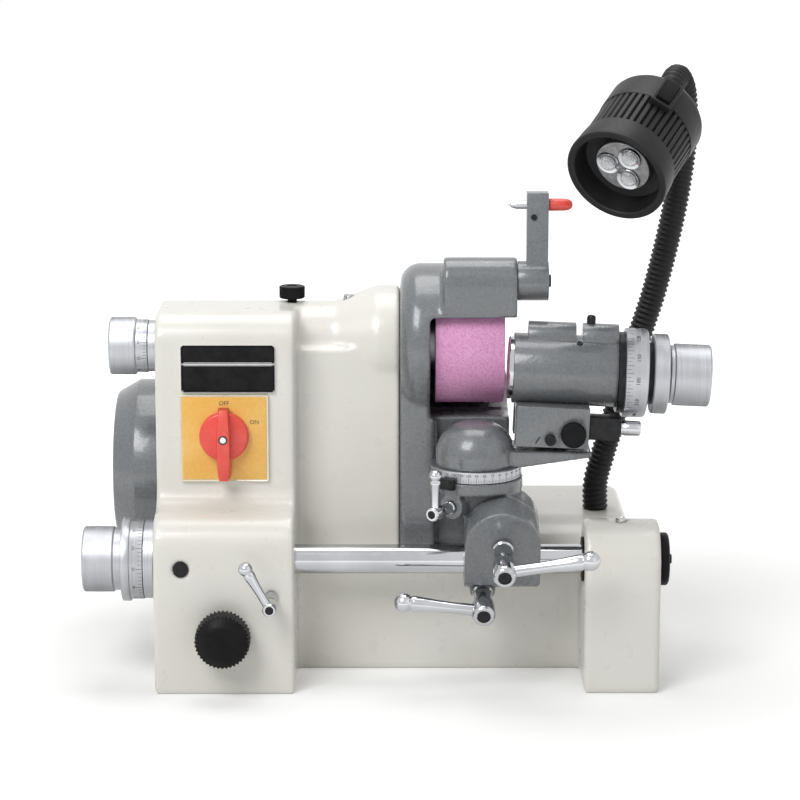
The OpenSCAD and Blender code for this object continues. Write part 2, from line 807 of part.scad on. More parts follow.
// Bar feed: graduated drum, knob with its screw, thrust sleeve and the bar itself
drum_r = drum_d / 2;
drum_l = 9.6;
drum_flange_step = 1.5;
drum_flange_r = drum_r + drum_flange_step;
drum_flange_l = 6;
neck_l = 6;
neck_inset = 1.1;
neck_r = bar_knob_d / 2 - neck_inset;
bar_screw_r = 6;
bar_travel = 5;
drum_x1 = column_x0 - feed_sleeve_l - gap;
drum_x0 = drum_x1 - drum_l - drum_flange_l;
sleeve_inset = 2;
sleeve_x0 = column_x0 + sleeve_inset;
sleeve_x1 = sleeve_bore_x1 - bar_travel - gap;
bar_tail = 32;
bar_x0 = sleeve_x0 + bar_tail;
bar_end_inset = 15;
bar_x1 = bracket_x1 - bar_end_inset;
module bar_feed_drum() {
    color(steel) difference() {
        union() {
            round_x(drum_x1 - drum_l, drum_x1, bar_y, bar_z, drum_r);
            round_x(drum_x0, drum_x1 - drum_l, bar_y, bar_z, drum_flange_r);
        }
        round_x(drum_x0 - overrun, drum_x1 + overrun, bar_y, bar_z, bar_screw_r);
    }
}
module bar_feed_knob() {
    color(steel) {
        round_x(drum_x0 - neck_l, drum_x0, bar_y, bar_z, neck_r);
        round_x(drum_x0 - neck_l - bar_knob_l, drum_x0 - neck_l, bar_y, bar_z, bar_knob_d / 2);
        round_x(drum_x0 - overrun, bar_x0 - 2 * bar_travel, bar_y, bar_z, bar_screw_r);
    }
}
module thrust_sleeve() {
    color(steel) difference() {
        round_x(sleeve_x0, sleeve_x1, bar_y, bar_z, sleeve_r);
        round_x(sleeve_x0 - overrun, sleeve_x1 + overrun, bar_y, bar_z, bar_bore_r);
    }
}
module slide_bar() {
    color(chrome) round_x(bar_x0, bar_x1, bar_y, bar_z, bar_r);
}

// Bar bracket: split clamp on the bar with a round head for the tilt, leaning towards the operator
bracket_x = 67.5;
bracket_t = 26;
bracket_hub_r = 20;
bracket_skirt = 7;
hub_flat = 15;
ear_x = 54;
ear_r = 9;
ear_t = 15;
ear_drop = 18;
slit_w = 2;
big_hub_r = 8.2;
hub_clear = 0.6;
module bracket_frame() {
    translate([0, bar_y, bar_z]) rotate([bracket_lean, 0, 0]) children();
}
module bar_bracket() {
    x0 = bracket_x - bracket_r;
    x1 = bracket_x + bracket_r;
    color(grey) bracket_frame() difference() {
        union() {
            round_x(x0, x1, 0, 0, bracket_hub_r);
            box([x0, -bracket_t, -bracket_skirt], [x1, 0, tilt_rise]);
            along_front(bracket_x, 0, tilt_rise) cylinder(h = bracket_t, r = bracket_r);
            along_front(ear_x, ear_t, -ear_drop) cylinder(h = 2 * ear_t, r = ear_r);
            box([ear_x - ear_r, -ear_t, -ear_drop], [ear_x + ear_r, ear_t, 0]);
        }
        round_x(x0 - overrun, x1 + overrun, 0, 0, bar_bore_r);
        box([x0 - overrun, 0, hub_flat], [x1 + overrun, bracket_hub_r + overrun, bracket_hub_r + overrun]);
        box([x0 - overrun, -slit_w / 2, -ear_drop - ear_r - overrun], [x1 + overrun, slit_w / 2, 0]);
        along_front(bracket_x, overrun, tilt_rise) cylinder(h = bracket_t + 2 * overrun, r = stud_r + fit);
        along_front(ear_x, ear_t + overrun, -ear_drop) cylinder(h = 2 * (ear_t + overrun), r = stud_r + fit);
        along_front(ear_x, -ear_t, -ear_drop) cylinder(h = bracket_t, r = big_hub_r + hub_clear);
    }
}
big_ball_r = 7;
bar_hub_l = 35;
bar_reach = 56.6;
bar_turn = 173;
module bar_lever() {
    bracket_frame() along_front(ear_x, -ear_t, -ear_drop)
        clamp_lever(bar_hub_l, big_hub_r, bar_reach, big_ball_r, bar_turn, 2 * ear_t);
}
tilt_hub_l = 42;
tilt_reach = 60;
tilt_turn = 9;
tilt_stud_in = 10;
module tilt_lever() {
    bracket_frame() along_front(bracket_x, -bracket_t, tilt_rise)
        clamp_lever(tilt_hub_l, big_hub_r, tilt_reach, big_ball_r, tilt_turn, bracket_t + tilt_stud_in);
}

// Tilt bracket: half disc behind the round head, rising to the swivel flange
tilt_t = 18;
tilt_boss_r = 8.5;
tilt_neck_h = 32;
neck_reach = 20;
flange_z0 = 142.5;
flange_t = 8.5;
flange_z1 = flange_z0 + flange_t;
pivot_r = 10;
pivot_l = 6;
side_az = 238;
side_boss_r = 9;
side_boss_l = 22;
side_drop = 12.7;
module swivel_frame() {
    translate([swivel_x, swivel_y, 0]) children();
}
module side_frame() {
    swivel_frame() rotate(side_az) translate([flange_r, 0, flange_z1 - flange_t / 2 - side_drop]) rotate([0, 90, 0])
        children();
}
module tilt_bracket() {
    color(grey) difference() {
        union() {
            bracket_frame() {
                intersection() {
                    along_front(bracket_x, gap + tilt_t, tilt_rise) cylinder(h = tilt_t, r = bracket_r);
                    box([bracket_x - bracket_r, 0, tilt_rise],
                        [bracket_x + bracket_r, bracket_t, tilt_rise + bracket_r]);
                }
                along_front(bracket_x, gap + tilt_t, tilt_rise) cylinder(h = tilt_t, r = tilt_boss_r);
                box([bracket_x - bracket_r, gap, tilt_rise], [swivel_x + neck_reach, gap + tilt_t, tilt_rise + tilt_neck_h]);
            }
            swivel_frame() translate([0, 0, flange_z0]) cylinder(h = flange_t, r = flange_r);
            side_frame() translate([0, 0, -side_boss_l]) cylinder(h = side_boss_l, r = side_boss_r);
        }
        swivel_frame() translate([0, 0, flange_z1 - pivot_l - gap]) cylinder(h = pivot_l + gap + overrun, r = pivot_r + fit);
        side_frame() translate([0, 0, -stud_l]) cylinder(h = stud_l + overrun, r = stud_r + fit);
        bracket_frame() along_front(bracket_x, tilt_stud_in + gap, tilt_rise)
            cylinder(h = tilt_stud_in + gap + overrun, r = stud_r + fit);
    }
}
swivel_hub_l = 26;
swivel_reach = 27;
swivel_ball_r = 4.6;
module swivel_lever() {
    side_frame() clamp_lever(swivel_hub_l, small_hub_r, swivel_reach, swivel_ball_r, 180, stud_l - gap);
}
pointer_az = 234;
pointer_w = 13;
pointer_t = 4;
pointer_h = 8;
module swivel_pointer() {
    color(black) swivel_frame() rotate(pointer_az)
        translate([flange_r, -pointer_w / 2, flange_z1 - pointer_h / 2]) cube([pointer_t, pointer_w, pointer_h]);
}

// Swivel arm: dome on a graduated ring, with the arm and the tongue that carry the head block
ring_inset = 1;
ring_r = flange_r - ring_inset;
ring_t = 8;
ring_z0 = flange_z1 + gap;
dome_z0 = ring_z0 + ring_t;
dome_h = 31;
dome_round = 24;
block_clear = 2.2;
arm_y0 = -30;
arm_y1 = 12;
tongue_t = 20;
tongue_r = 11;
module swivel_ring() {
    color(steel) swivel_frame() difference() {
        translate([0, 0, ring_z0]) cylinder(h = ring_t, r = ring_r);
        translate([0, 0, ring_z0 - overrun]) cylinder(h = ring_t + 2 * overrun, r = pivot_r);
    }
}

// Head frame: X along the work spindle, from the barrel's left face
nose_l = 3.5;
nose_r = 22.5;
head_x = wheel_face_x + nose_clearance + nose_l;
block_u0 = 3;
block_u1 = 55;
block_drop = 51;
block_top = 22;
block_v0 = -30;
block_v1 = 26;
slot_ceiling = 29;
pin_u = 30;
pin_w = 42;
pin_r = 4.5;
pin_x = head_x + pin_u * cos(head_tilt) - pin_w * sin(head_tilt);
pin_z = head_z - pin_u * sin(head_tilt) - pin_w * cos(head_tilt);
arm_top_z = head_z - block_u1 * sin(head_tilt) - block_drop * cos(head_tilt) - block_clear;
arm_x1 = head_x + block_u1;
arm_end_t = 4;
module head_frame() {
    translate([head_x, head_y, head_z]) rotate([0, head_tilt, 0]) children();
}
module swivel_arm() {
    color(grey) difference() {
        union() {
            swivel_frame() {
                translate([0, 0, flange_z1 - pivot_l]) cylinder(h = pivot_l + ring_t + overrun, r = pivot_r);
                translate([0, 0, dome_z0]) rotate_extrude() difference() {
                    square([dome_r, dome_h]);
                    corner_sliver(dome_r, dome_h, -1, -1, dome_round);
                }
            }
            outline_y(head_y + arm_y0, head_y + arm_y1) polygon([
                [swivel_x, dome_z0], [swivel_x + flange_r, dome_z0], [arm_x1, arm_top_z - arm_end_t],
                [arm_x1, arm_top_z], [swivel_x, arm_top_z]]);
            outline_y(head_y - tongue_t / 2, head_y + tongue_t / 2) union() {
                translate([pin_x, pin_z]) circle(tongue_r);
                translate([pin_x - tongue_r, arm_top_z - overrun]) square([2 * tongue_r, pin_z - arm_top_z + overrun]);
            }
        }
        along_front(pin_x, head_y + tongue_t, pin_z) cylinder(h = 2 * tongue_t, r = pin_r + fit);
    }
}

// Head: block on the tongue, barrel with its clamp lugs, black bracket for the index pin
slot_gap = 0.4;
block_knob_r = 9;
block_knob_l = 9.5;
block_knob_u = 43.7;
block_knob_w = 40;
module head_block() {
    color(grey) head_frame() {
        difference() {
            box([block_u0, block_v0, -block_drop], [block_u1, block_v1, -block_top]);
            round_x(block_u0 - overrun, block_u1 + overrun, 0, 0, barrel_r);
            box([block_u0 - overrun, -tongue_t / 2 - slot_gap, -block_drop - overrun],
                [block_u1 + overrun, tongue_t / 2 + slot_gap, -slot_ceiling]);
            along_front(block_knob_u, block_v0 + stud_l, -block_knob_w) cylinder(h = stud_l + overrun, r = stud_r + fit);
        }
        along_front(pin_u, tongue_t / 2 + overrun, -pin_w) cylinder(h = tongue_t + 2 * overrun, r = pin_r);
    }
}
lug_u0 = 9.5;
lug_u1 = 43.5;
lug_u2 = 48.3;
head_lug_r = 11;
lug_reach = 34.6;
work_r = work_spindle_d / 2;
module head_barrel() {
    color(grey) head_frame() difference() {
        union() {
            round_x(0, barrel_l, 0, 0, barrel_r);
            for (span = [[lug_u0, lug_u1], [lug_u2, barrel_l]]) {
                round_x(span[0], span[1], 0, lug_reach - head_lug_r, head_lug_r);
                box([span[0], -head_lug_r, 0], [span[1], head_lug_r, lug_reach - head_lug_r]);
            }
        }
        round_x(-overrun, barrel_l + overrun, 0, 0, work_r + fit);
    }
}
index_v = -20;
index_w = 36.5;
index_half = 8;
index_u1 = 77;
index_stem_r = 2.5;
index_stem_l = 16;
index_knob_r = 5.5;
index_knob_l = 15;
module index_bracket() {
    color(black) head_frame() difference() {
        box([block_u1, index_v - index_half, -index_w - index_half], [index_u1, index_v + index_half, index_half - index_w]);
        round_x(index_u1 - index_stem_l - gap, index_u1 + overrun, index_v, -index_w, index_stem_r + fit);
    }
}
module index_pin() {
    color(chrome) head_frame() {
        round_x(index_u1 - index_stem_l, index_u1 + overrun, index_v, -index_w, index_stem_r);
        round_x(index_u1 + gap, index_u1 + gap + index_knob_l, index_v, -index_w, index_knob_r);
    }
}
module block_knob() {
    color(black) head_frame() along_front(block_knob_u, block_v0, -block_knob_w) {
        translate([0, 0, gap - stud_l]) cylinder(h = stud_l, r = stud_r);
        translate([0, 0, gap]) cylinder(h = block_knob_l, r = block_knob_r);
    }
}

// Work spindle with its collet, index dial and drawbar knob
dial_gap = 0.3;
dial_ring_t = 4.5;
dial_ring_r = 29;
dial_u0 = barrel_l + dial_gap;
dial_u1 = dial_u0 + dial_ring_t + dial_w;
dial_neck_l = 3.8;
dial_neck_r = 22;
collar_l = 11.3;
collar_r = 28.8;
collar_u0 = dial_u1 + dial_neck_l;
collar_u1 = collar_u0 + collar_l;
drawbar_gap = 1.4;
drawbar_l = 29;
drawbar_u0 = collar_u1 + drawbar_gap;
drawbar_u1 = drawbar_u0 + drawbar_l;
spigot_r = 9;
spigot_short = 2;
spigot_end = 1;
collet_r = 10;
collet_l = 28;
pass_gap = 0.4;
pass_r = collet_bore_d / 2 + pass_gap;
module work_spindle() {
    color(steel) head_frame() difference() {
        union() {
            round_x(-nose_l, -gap, 0, 0, nose_r);
            round_x(-nose_l, drawbar_u0 - gap, 0, 0, work_r);
            round_x(dial_u1, collar_u0, 0, 0, dial_neck_r);
            round_x(collar_u0, collar_u1, 0, 0, collar_r);
            round_x(collar_u1, drawbar_u1 - spigot_short, 0, 0, spigot_r);
        }
        round_x(-nose_l - overrun, collet_l - nose_l, 0, 0, collet_r);
        round_x(collet_l - nose_l - overrun, drawbar_u1, 0, 0, pass_r);
    }
}
module index_dial() {
    color(steel) head_frame() difference() {
        union() {
            round_x(dial_u0, dial_u0 + dial_ring_t, 0, 0, dial_ring_r);
            round_x(dial_u0 + dial_ring_t, dial_u1, 0, 0, dial_r);
        }
        round_x(dial_u0 - overrun, dial_u1 + overrun, 0, 0, work_r);
    }
}
module collet() {
    color(steel) head_frame() difference() {
        round_x(-nose_l, collet_l - nose_l, 0, 0, collet_r);
        round_x(-nose_l - overrun, collet_l - nose_l + overrun, 0, 0, collet_bore_d / 2);
    }
}
module drawbar_knob() {
    color(steel) head_frame() difference() {
        round_x(drawbar_u0, drawbar_u1, 0, 0, drawbar_r);
        round_x(drawbar_u0 - overrun, drawbar_u1 - spigot_end, 0, 0, spigot_r + fit);
        round_x(drawbar_u0, drawbar_u1 + overrun, 0, 0, pass_r);
    }
}

// Lamp: ribbed hose from the bed, round housing with bezel, light disc and rocker
lamp_x = 181;
lamp_y = -34;
lamp_z = 410;
hose_rise = 20;
hose_route = [
    [hose_x, hose_y, ledge_h], [hose_x, hose_y, ledge_h + hose_rise], [146, 10, 146], [152, 12, 166], [162, 13, 203],
    [175, 15, 244], [183, 16, 270], [192, 16, 308], [198, 16, 340], [202, 15, 372], [203, 14, 396],
    [201, 10, 417], [196, 1, 428], [191, -12, 426], [187, -23, 417], [lamp_x, lamp_y, lamp_z]];
hose_steps = 8;
hose_sides = 8;
hose_valley_share = 0.88;
hose_bore_share = 0.6;
hose_last = len(hose_route) - 1;
function hose_point(i) = i < 0 ? 2 * hose_route[0] - hose_route[1]
    : i > hose_last ? 2 * hose_route[hose_last] - hose_route[hose_last - 1] : hose_route[i];
function spline(a, b, c, d, t) = (2 * b + (c - a) * t + (2 * a - 5 * b + 4 * c - d) * t * t
    + (3 * b - a - 3 * c + d) * t * t * t) / 2;
hose_curve = [for (i = [0 : hose_last - 1], s = [0 : hose_steps - 1])
    spline(hose_point(i - 1), hose_point(i), hose_point(i + 1), hose_point(i + 2), s / hose_steps),
    hose_route[hose_last]];
hose_lengths = [for (i = 1, s = 0; i <= len(hose_curve); s = i < len(hose_curve)
    ? s + norm(hose_curve[i] - hose_curve[i - 1]) : s, i = i + 1) s];
hose_total = hose_lengths[len(hose_lengths) - 1];
hose_xs = [for (i = [0 : len(hose_curve) - 1]) [hose_lengths[i], hose_curve[i][0]]];
hose_ys = [for (i = [0 : len(hose_curve) - 1]) [hose_lengths[i], hose_curve[i][1]]];
hose_zs = [for (i = [0 : len(hose_curve) - 1]) [hose_lengths[i], hose_curve[i][2]]];
function hose_at(s) = [lookup(s, hose_xs), lookup(s, hose_ys), lookup(s, hose_zs)];
hose_probe = 3;
function hose_along(s) = s <= 0 ? [0, 0, 1] : let (d = hose_at(s + hose_probe) - hose_at(s - hose_probe)) d / norm(d);
function hose_ring(s, r) = let (c = hose_at(s), t = hose_along(s), v = cross(t, [1, 0, 0]), n = v / norm(v), b = cross(t, n))
    [for (k = [0 : hose_sides - 1]) c + r * (cos(360 * k / hose_sides) * n + sin(360 * k / hose_sides) * b)];
hose_rings = 2 * hose_ribs;
bore_every = 8;
bore_rings = hose_rings / bore_every;
hose_outer = [for (i = [0 : hose_rings])
    each hose_ring(hose_total * i / hose_rings, i % 2 == 1 ? hose_r : hose_r * hose_valley_share)];
hose_inner = [for (i = [0 : bore_rings]) each hose_ring(hose_total * i / bore_rings, hose_r * hose_bore_share)];
bore_start = len(hose_outer);
function ring_index(i, k) = i * hose_sides + k % hose_sides;
module lamp_hose() {
    sides = [0 : hose_sides - 1];
    color(black) polyhedron(points = concat(hose_outer, hose_inner), faces = concat(
        [for (i = [0 : hose_rings - 1], k = sides) [ring_index(i, k), ring_index(i + 1, k), ring_index(i + 1, k + 1)]],
        [for (i = [0 : hose_rings - 1], k = sides) [ring_index(i, k), ring_index(i + 1, k + 1), ring_index(i, k + 1)]],
        [for (i = [0 : bore_rings - 1], k = sides) [bore_start + ring_index(i, k),
            bore_start + ring_index(i + 1, k + 1), bore_start + ring_index(i + 1, k)]],
        [for (i = [0 : bore_rings - 1], k = sides) [bore_start + ring_index(i, k),
            bore_start + ring_index(i, k + 1), bore_start + ring_index(i + 1, k + 1)]],
        [for (k = sides) [ring_index(0, k), ring_index(0, k + 1), bore_start + ring_index(0, k + 1)]],
        [for (k = sides) [ring_index(0, k), bore_start + ring_index(0, k + 1), bore_start + ring_index(0, k)]],
        [for (k = sides) [ring_index(hose_rings, k), bore_start + ring_index(bore_rings, k + 1),
            ring_index(hose_rings, k + 1)]],
        [for (k = sides) [ring_index(hose_rings, k), bore_start + ring_index(bore_rings, k),
            bore_start + ring_index(bore_rings, k + 1)]]));
}
lamp_r = lamp_d / 2;
lamp_wall = 3;
lamp_rear_r = 27;
lamp_shoulder = 12;
bezel_l = 20;
bezel_step = 1.5;
bezel_r = lamp_r + bezel_step;
bezel_lip = 4;
bezel_bore_r = lamp_r - bezel_lip;
lamp_body_l = lamp_l - bezel_l;
rocker_z0 = 17;
rocker_turn = 35;
rocker_l = 20;
rocker_half = 5;
rocker_wall = 3;
rocker_end_gap = 0.9;
rocker_sink = 1;
rocker_floor = lamp_r - rocker_sink;
rocker_stand = 4;
rocker_rim = lamp_r + rocker_stand;
rocker_lift = 1.4;
rocker_proud = 2;
rocker_pin_r = 1.1;
rocker_pin_reach = 1.6;
rocker_pin_end = rocker_half + gap + rocker_pin_reach;
rocker_pin_rise = 3;
rocker_pin_y = rocker_floor + rocker_pin_rise;
module lamp_frame() {
    translate([lamp_x, lamp_y, lamp_z]) rotate([90 + lamp_dip, 0, -lamp_turn]) children();
}
module lamp_housing() {
    color(black) lamp_frame() difference() {
        union() {
            rotate_extrude() polygon([
                [0, 0], [lamp_rear_r, 0], [lamp_r, lamp_shoulder], [lamp_r, lamp_body_l],
                [lamp_r - lamp_wall, lamp_body_l], [lamp_r - lamp_wall, lamp_shoulder + lamp_wall],
                [lamp_rear_r - lamp_wall, lamp_wall], [0, lamp_wall]]);
            rotate(-rocker_turn)
                box([-rocker_half - rocker_wall, rocker_floor - lamp_wall - overrun, rocker_z0 - rocker_wall],
                    [rocker_half + rocker_wall, rocker_rim, rocker_z0 + rocker_l + rocker_wall]);
        }
        rotate(-rocker_turn) {
            box([-rocker_half - gap, rocker_floor, rocker_z0 - rocker_end_gap],
                [rocker_half + gap, rocker_rim + overrun, rocker_z0 + rocker_l + rocker_end_gap]);
            round_x(-rocker_pin_end - gap, rocker_pin_end + gap, rocker_pin_y, rocker_z0 + rocker_l / 2, rocker_pin_r + fit);
        }
    }
}
module lamp_bezel() {
    color(black) lamp_frame() difference() {
        translate([0, 0, lamp_body_l]) cylinder(h = bezel_l, r = bezel_r);
        translate([0, 0, lamp_body_l - overrun]) cylinder(h = bezel_l + 2 * overrun, r = bezel_bore_r);
    }
}
led_r = 20;
led_l = 8;
dish_t = 2;
module led_module() {
    color(yellow) lamp_frame() translate([0, 0, lamp_body_l]) {
        cylinder(h = dish_t, r = bezel_bore_r);
        cylinder(h = led_l, r = led_r);
    }
}
module lamp_rocker() {
    color(black) lamp_frame() rotate(-rocker_turn) {
        box([-rocker_half, rocker_floor + rocker_lift, rocker_z0], [rocker_half, rocker_rim + rocker_proud, rocker_z0 + rocker_l]);
        round_x(-rocker_pin_end, rocker_pin_end, rocker_pin_y, rocker_z0 + rocker_l / 2, rocker_pin_r);
    }
}

column();
spindle_housing();
bed();
end_bracket();
rear_cover();
motor_cover();
motor_stator();
nameplate();
switch_plate();
switch_body();
wheel_guard();
feed_sleeves();
bar_seal();
end_cap();
socket_screws();
oilers();
drive_belt();
lamp_hose();
lamp_housing();
lamp_bezel();
led_module();
lamp_rocker();
quill();
spindle_bearings();
spindle_shaft();
wheel_flange();
grinding_wheel();
wheel_nut();
spindle_pulley();
motor_shaft();
motor_pulley();
spindle_feed_knob();
thumb_screw();
dresser_arm();
dresser_rod();
dresser_cap();
switch_handle();
column_lever();
stop_knob();
bar_feed_drum();
bar_feed_knob();
thrust_sleeve();
slide_bar();
bar_bracket();
bar_lever();
tilt_lever();
tilt_bracket();
swivel_pointer();
swivel_lever();
swivel_arm();
swivel_ring();
head_block();
head_barrel();
index_bracket();
block_knob();
work_spindle();
index_dial();
collet();
drawbar_knob();
index_pin();
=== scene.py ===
import bpy
import math
from mathutils import Matrix, Vector


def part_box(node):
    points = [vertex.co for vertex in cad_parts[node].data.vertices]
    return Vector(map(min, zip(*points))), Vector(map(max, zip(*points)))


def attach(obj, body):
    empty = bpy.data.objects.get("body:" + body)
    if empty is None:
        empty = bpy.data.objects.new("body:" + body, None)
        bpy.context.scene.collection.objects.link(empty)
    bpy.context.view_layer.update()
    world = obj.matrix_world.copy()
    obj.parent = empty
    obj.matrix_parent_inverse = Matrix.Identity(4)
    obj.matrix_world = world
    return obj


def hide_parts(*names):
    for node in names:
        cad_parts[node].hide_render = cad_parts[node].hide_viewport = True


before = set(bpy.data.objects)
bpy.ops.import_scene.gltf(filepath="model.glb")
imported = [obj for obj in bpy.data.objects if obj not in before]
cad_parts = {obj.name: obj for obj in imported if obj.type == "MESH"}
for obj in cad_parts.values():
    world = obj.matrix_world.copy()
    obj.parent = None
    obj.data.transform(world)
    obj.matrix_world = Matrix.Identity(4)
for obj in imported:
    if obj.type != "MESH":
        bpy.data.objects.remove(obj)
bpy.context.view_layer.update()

# Studio: a pale floor that runs back to a white surround, soft lamps above and
# to the sides, and a long lens at about eye height in front of the bench.
scene = bpy.context.scene
scene.view_settings.view_transform = "Standard"
bpy.ops.object.select_all(action="DESELECT")
bpy.ops.mesh.primitive_plane_add(size=12, location=(0, 0, 0))
floor = bpy.context.object
floor.name = "studio_floor"
floor_paper = bpy.data.materials.new("floor_paper")
floor_paper.use_nodes = True
paper_nodes = floor_paper.node_tree.nodes
paper_links = floor_paper.node_tree.links
paper = paper_nodes["Principled BSDF"]
paper.inputs["Base Color"].default_value = (0.86, 0.86, 0.855, 1)
paper.inputs["Roughness"].default_value = 0.9
paper_glow = paper_nodes.new("ShaderNodeEmission")
paper_glow.inputs["Color"].default_value = (1, 1, 1, 1)
# The floor's glow is weak close to the machine and strong further out: painted shade on the floor round the machine, so
# its real shadow still shows there.
paper_reach = paper_nodes.new("ShaderNodeVectorMath")
paper_reach.operation = "LENGTH"
paper_links.new(paper_nodes.new("ShaderNodeTexCoord").outputs["Object"], paper_reach.inputs[0])
paper_fade = paper_nodes.new("ShaderNodeMapRange")
paper_fade.inputs["From Min"].default_value = 0.25
paper_fade.inputs["From Max"].default_value = 0.9
paper_fade.inputs["To Min"].default_value = 0.18
paper_fade.inputs["To Max"].default_value = 0.85
paper_links.new(paper_reach.outputs["Value"], paper_fade.inputs["Value"])
paper_links.new(paper_fade.outputs["Result"], paper_glow.inputs["Strength"])
paper_mix = paper_nodes.new("ShaderNodeAddShader")
paper_links.new(paper.outputs["BSDF"], paper_mix.inputs[0])
paper_links.new(paper_glow.outputs["Emission"], paper_mix.inputs[1])
paper_path = paper_nodes.new("ShaderNodeLightPath")
paper_seen = paper_nodes.new("ShaderNodeMath")
paper_seen.operation = "MAXIMUM"
paper_links.new(paper_path.outputs["Is Camera Ray"], paper_seen.inputs[0])
paper_links.new(paper_path.outputs["Is Glossy Ray"], paper_seen.inputs[1])
paper_split = paper_nodes.new("ShaderNodeMixShader")
paper_links.new(paper_seen.outputs[0], paper_split.inputs["Fac"])
paper_links.new(paper.outputs["BSDF"], paper_split.inputs[1])
paper_links.new(paper_mix.outputs["Shader"], paper_split.inputs[2])
paper_links.new(paper_split.outputs["Shader"], paper_nodes["Material Output"].inputs["Surface"])
floor.data.materials.append(floor_paper)

surround = bpy.data.worlds.new("white_surround")
surround.use_nodes = True
sky_nodes = surround.node_tree.nodes
sky_links = surround.node_tree.links
sky = sky_nodes["Background"]
sky.inputs["Color"].default_value = (1, 1, 1, 1)
sky.inputs["Strength"].default_value = 0.28
sky_seen = sky_nodes.new("ShaderNodeBackground")
sky_seen.inputs["Color"].default_value = (1, 1, 1, 1)
sky_path = sky_nodes.new("ShaderNodeLightPath")
sky_mix = sky_nodes.new("ShaderNodeMixShader")
sky_open = sky_path.outputs["Is Camera Ray"]
for ray in ("Is Glossy Ray", "Is Transmission Ray"):
    sky_either = sky_nodes.new("ShaderNodeMath")
    sky_either.operation = "MAXIMUM"
    sky_links.new(sky_open, sky_either.inputs[0])
    sky_links.new(sky_path.outputs[ray], sky_either.inputs[1])
    sky_open = sky_either.outputs[0]
sky_links.new(sky_open, sky_mix.inputs["Fac"])
sky_links.new(sky.outputs["Background"], sky_mix.inputs[1])
sky_links.new(sky_seen.outputs["Background"], sky_mix.inputs[2])
sky_links.new(sky_mix.outputs["Shader"], sky_nodes["World Output"].inputs["Surface"])
scene.world = surround

lamp_aim = Vector((0, 0, 0.2))
for lamp_name, place, size, power in (
        ("key_softbox", (-0.9, -1.5, 1.7), 1.1, 29),
        ("fill_softbox", (1.5, -1.2, 0.9), 1.4, 2),
        ("top_softbox", (0.0, 0.3, 1.9), 1.2, 15)):
    bpy.ops.object.light_add(type="AREA", location=place)
    softbox = bpy.context.object
    softbox.name = lamp_name
    softbox.data.size = size
    softbox.data.energy = power
    softbox.rotation_euler = (lamp_aim - Vector(place)).to_track_quat("-Z", "Y").to_euler()

camera_place = Vector((-0.005, -1.9963, 0.61456))
camera_aim = Vector((-0.005, -0.04, 0.19874))
bpy.ops.object.camera_add(location=camera_place)
camera = bpy.context.object
camera.rotation_euler = (camera_aim - camera_place).to_track_quat("-Z", "Y").to_euler()
camera.data.sensor_width = 36
camera.data.lens = 124.2
scene.camera = camera

# Casting: column, spindle tube, bed and end bracket are one iron casting in
# ivory enamel, filled, rubbed down and sprayed, so all its edges are soft.


def new_material(name, colour, metallic, roughness):
    """Names a finish and gives back its node tree, its shader and Object coordinates."""
    made = bpy.data.materials.new(name)
    made.use_nodes = True
    tree = made.node_tree
    shader = tree.nodes["Principled BSDF"]
    shader.inputs["Base Color"].default_value = (*colour, 1)
    shader.inputs["Metallic"].default_value = metallic
    shader.inputs["Roughness"].default_value = roughness
    place = tree.nodes.new("ShaderNodeTexCoord").outputs["Object"]
    return made, tree, shader, place


def speckle(tree, place, scale, detail=3, rough=0.55):
    """Cloudy noise in the piece's own space."""
    cloud = tree.nodes.new("ShaderNodeTexNoise")
    cloud.inputs["Scale"].default_value = scale
    cloud.inputs["Detail"].default_value = detail
    cloud.inputs["Roughness"].default_value = rough
    tree.links.new(place, cloud.inputs["Vector"])
    return cloud.outputs["Fac"]


def grade(tree, fac, stops):
    """Colour ramp from a list of (place, colour)."""
    ramp = tree.nodes.new("ShaderNodeValToRGB")
    while len(ramp.color_ramp.elements) < len(stops):
        ramp.color_ramp.elements.new(0.5)
    for element, (at, colour) in zip(ramp.color_ramp.elements, stops):
        element.position = at
        element.color = (*colour, 1)
    tree.links.new(fac, ramp.inputs["Fac"])
    return ramp.outputs["Color"]


def spread(tree, fac, low, high):
    """Maps a pattern's 0.3 to 0.7 onto low to high, for roughness."""
    span = tree.nodes.new("ShaderNodeMapRange")
    span.inputs["From Min"].default_value = 0.3
    span.inputs["From Max"].default_value = 0.7
    span.inputs["To Min"].default_value = low
    span.inputs["To Max"].default_value = high
    tree.links.new(fac, span.inputs["Value"])
    return span.outputs["Result"]


def emboss(tree, shader, height, strength, depth):
    """Bump from a height pattern."""
    bump = tree.nodes.new("ShaderNodeBump")
    bump.inputs["Strength"].default_value = strength
    bump.inputs["Distance"].default_value = depth
    tree.links.new(height, bump.inputs["Height"])
    tree.links.new(bump.outputs["Normal"], shader.inputs["Normal"])


def pick(*chosen):
    """Selects only the given objects and makes the last one active."""
    bpy.ops.object.select_all(action="DESELECT")
    for item in chosen:
        item.select_set(True)
        bpy.context.view_layer.objects.active = item


def dress(piece, finish, body, *nodes):
    """Gives a piece its finish, its body and the solids it stands for."""
    piece.data.materials.clear()
    piece.data.materials.append(finish)
    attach(piece, body)
    if nodes:
        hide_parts(*nodes)
    return piece


def paint_solid(node, finish):
    """Gives a solid that is shown as it is its finish."""
    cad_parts[node].data.materials.clear()
    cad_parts[node].data.materials.append(finish)


def welded_copy(name, *nodes):
    """Copies solids as one new mesh with its loose triangles joined."""
    copies = []
    for node in nodes:
        twin = bpy.data.objects.new(name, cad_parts[node].data.copy())
        scene.collection.objects.link(twin)
        copies.append(twin)
    pick(*copies)
    if len(copies) > 1:
        bpy.ops.object.join()
    piece = bpy.context.object
    piece.name = name
    bpy.ops.object.mode_set(mode="EDIT")
    bpy.ops.mesh.select_all(action="SELECT")
    bpy.ops.mesh.remove_doubles(threshold=0.00002)
    bpy.ops.object.mode_set(mode="OBJECT")
    return piece


